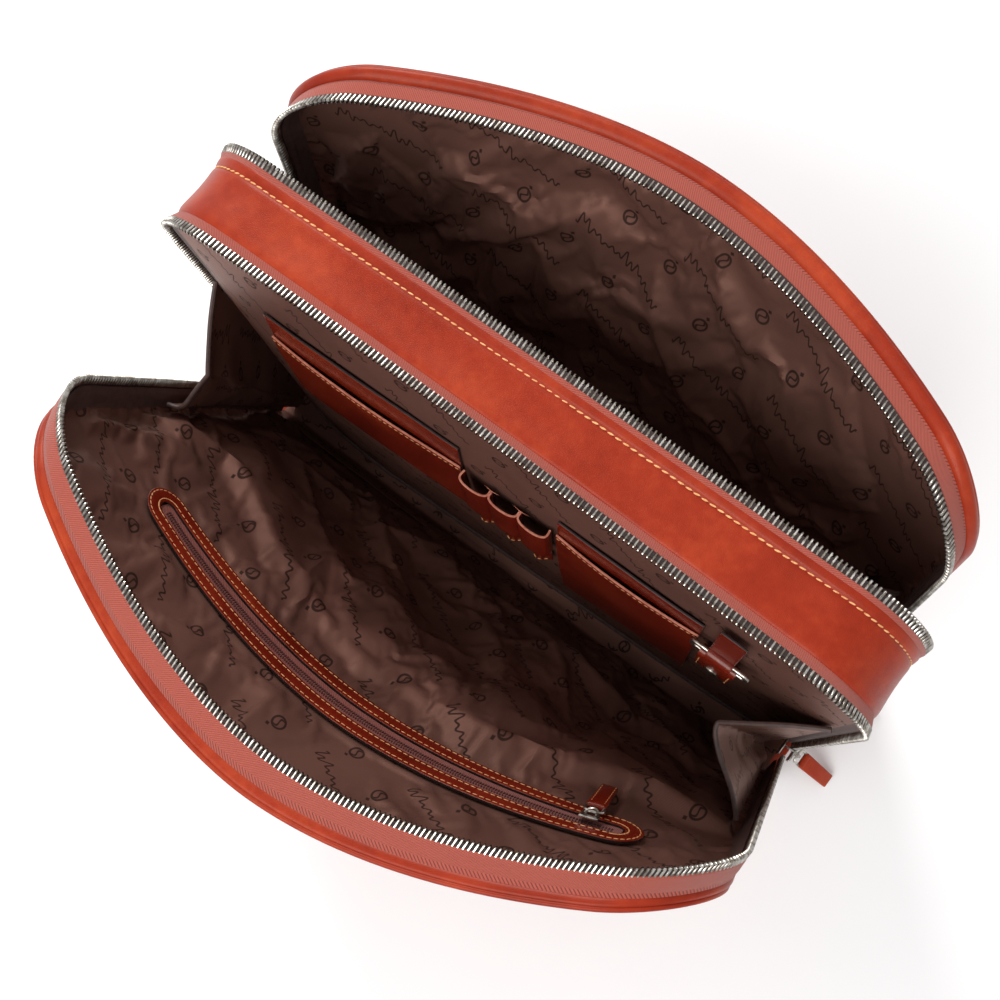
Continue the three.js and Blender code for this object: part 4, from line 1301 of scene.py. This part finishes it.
# ---- Handles
SPREAD, CHAPE_TOP, DROP, RING_DROP = 95.0, 205.0, 96.0, 15.0
GRIP_STEPS, GRIP_BARE = 60, 14         # steps along the grip; its length without thread at each end
for cover in (FRONT, REAR):
    label, proud = cover.label, DEPTH + 2.5
    eyes = [cover.at(hand * SPREAD, CHAPE_TOP - 18, proud + 6) for hand in (-1, 1)]
    across = (eyes[1] - eyes[0]).normalized()
    fall = (Vector((0, 0, -1)) + across * across.z).normalized()
    body = label + "_handle"
    outward = across.cross(fall) * (1 if across.cross(fall).y * cover.side > 0 else -1)
    for hand, end, eye in ((-1, "left", eyes[0]), (1, "right", eyes[1])):
        def chape(s, t, cover=cover, hand=hand, eye=eye):
            up = CHAPE_TOP - 16 + 50 * t
            half = 7.6 * math.sqrt(max(0.02, 1 - max(0.0, (t - 0.84) / 0.16) ** 2))
            along = hand * SPREAD + (s - 0.5) * 2 * half
            lift = 2.2 + 4.0 * (1 - smooth_step(t, 0, 0.34)) + 0.5 * math.sin(math.pi * s)
            return cover.at(along, up, DEPTH + 0.6 + lift)

        piece(grid(14, 40, chape, (15, 52)), f"{label}_chape_{end}", cover.body, (COGNAC, BLACK_EDGE),
              [f"{label}_handle_chape_{end}"], thick=-2.4 * cover.side, bevel=0.5)
        piece(roller(eye, across, 15.2, 3.7), f"{label}_chape_roll_{end}", cover.body, COGNAC)

        def chape_seam(distance, chape=chape, cover=cover):
            s, rest = (0.16, distance) if distance < SHORT_SEAM else (0.84, distance - SHORT_SEAM)
            t = 0.38 + 0.5 * rest / SHORT_SEAM
            normal = Vector((0, cover.side * cover.cos, -cover.sin))
            return chape(s, t) + normal * 0.15, normal

        piece(stitches(chape_seam, 2 * SHORT_SEAM - 0.1, 3.4, 2.6, 0.6, 0.5, 5),
              f"{label}_chape_stitching_{end}", cover.body, THREAD)
        piece(tube(bar_ring(eye, across, fall, 12, RING_DROP, 3), 1.5, 12, True), f"{label}_ring_{end}",
              body, NICKEL, [f"{label}_handle_ring_{end}"])

    line = []
    for i in range(GRIP_STEPS + 1):
        turn = math.pi * i / GRIP_STEPS
        sweep = -math.copysign(abs(math.cos(turn)) ** 0.6, math.cos(turn))
        sink = (DROP - RING_DROP) * math.sin(turn) ** 0.8
        line.append((eyes[0] + eyes[1]) / 2 + fall * (RING_DROP + 3.9 + sink) + across * SPREAD * sweep)

    def grip_size(s):
        end = min(s, 1 - s)
        return 3.2 + 3.0 * smooth_step(end, 0.06, 0.2)

    loops = [roller(eye + fall * RING_DROP, across, 12, 3.9) for eye in eyes]
    piece(joined(tube(line, grip_size, 20), *loops), label + "_grip", body, COGNAC,
          [label + "_handle"])
    reel = np.concatenate([[0], np.cumsum([(b - a).length for a, b in zip(line, line[1:])])])

    def grip_seam(distance, line=line, reel=reel, outward=outward, grip_size=grip_size):
        distance += GRIP_BARE
        k = min(GRIP_STEPS - 1, int(np.searchsorted(reel, distance) - 1))
        share = (distance - reel[k]) / (reel[k + 1] - reel[k])
        centre = line[k].lerp(line[k + 1], share)
        direction = (line[k + 1] - line[k]).normalized()
        inner = direction.cross(outward).normalized()
        normal = (outward * 0.5 - inner * 0.85).normalized()
        return centre + normal * (grip_size((k + share) / GRIP_STEPS) + 0.05), normal

    piece(stitches(grip_seam, float(reel[-1]) - 2 * GRIP_BARE, 4.2, 3.2, 0.7, 0.55, 6),
          label + "_grip_stitching", body, THREAD)

# ---- Camera, light and floor
camera = bpy.data.objects.new("camera", bpy.data.cameras.new("camera"))
bpy.context.scene.collection.objects.link(camera)
camera.location = (0.12675, -0.09584, 0.81092)
camera.rotation_euler = (0.2114, 0.0962, 0.6527)
camera.data.lens, camera.data.sensor_width = 45.41, 36
bpy.context.scene.camera = camera


def softbox(name, location, target, size, power):
    light = bpy.data.lights.new(name, "AREA")
    light.shape, light.size, light.energy = "SQUARE", size, power
    lamp = bpy.data.objects.new(name, light)
    lamp.location = location
    lamp.rotation_euler = (Vector(target) - Vector(location)).to_track_quat("-Z", "Y").to_euler()
    bpy.context.scene.collection.objects.link(lamp)


softbox("key", (-1.05, 0.85, 1.25), (0, 0, 0.2), 0.7, 20)
softbox("fill", (0.1, -0.95, 1.35), (0, 0, 0.15), 0.9, 16)
world = bpy.data.worlds.new("studio")
world.use_nodes = True
world.node_tree.nodes["Background"].inputs["Color"].default_value = (1, 1, 1, 1)
world.node_tree.nodes["Background"].inputs["Strength"].default_value = 0.62
bpy.context.scene.world = world
bpy.context.scene.view_settings.view_transform = "Standard"

ground = bmesh.new()
bmesh.ops.create_grid(ground, x_segments=2, y_segments=2, size=3.0 / MM)
ground = made(ground, "ground")
ground.data.materials.append(plain("pale_floor", (0.93,) * 3, (0.91,) * 3, 3.0, 0.7))
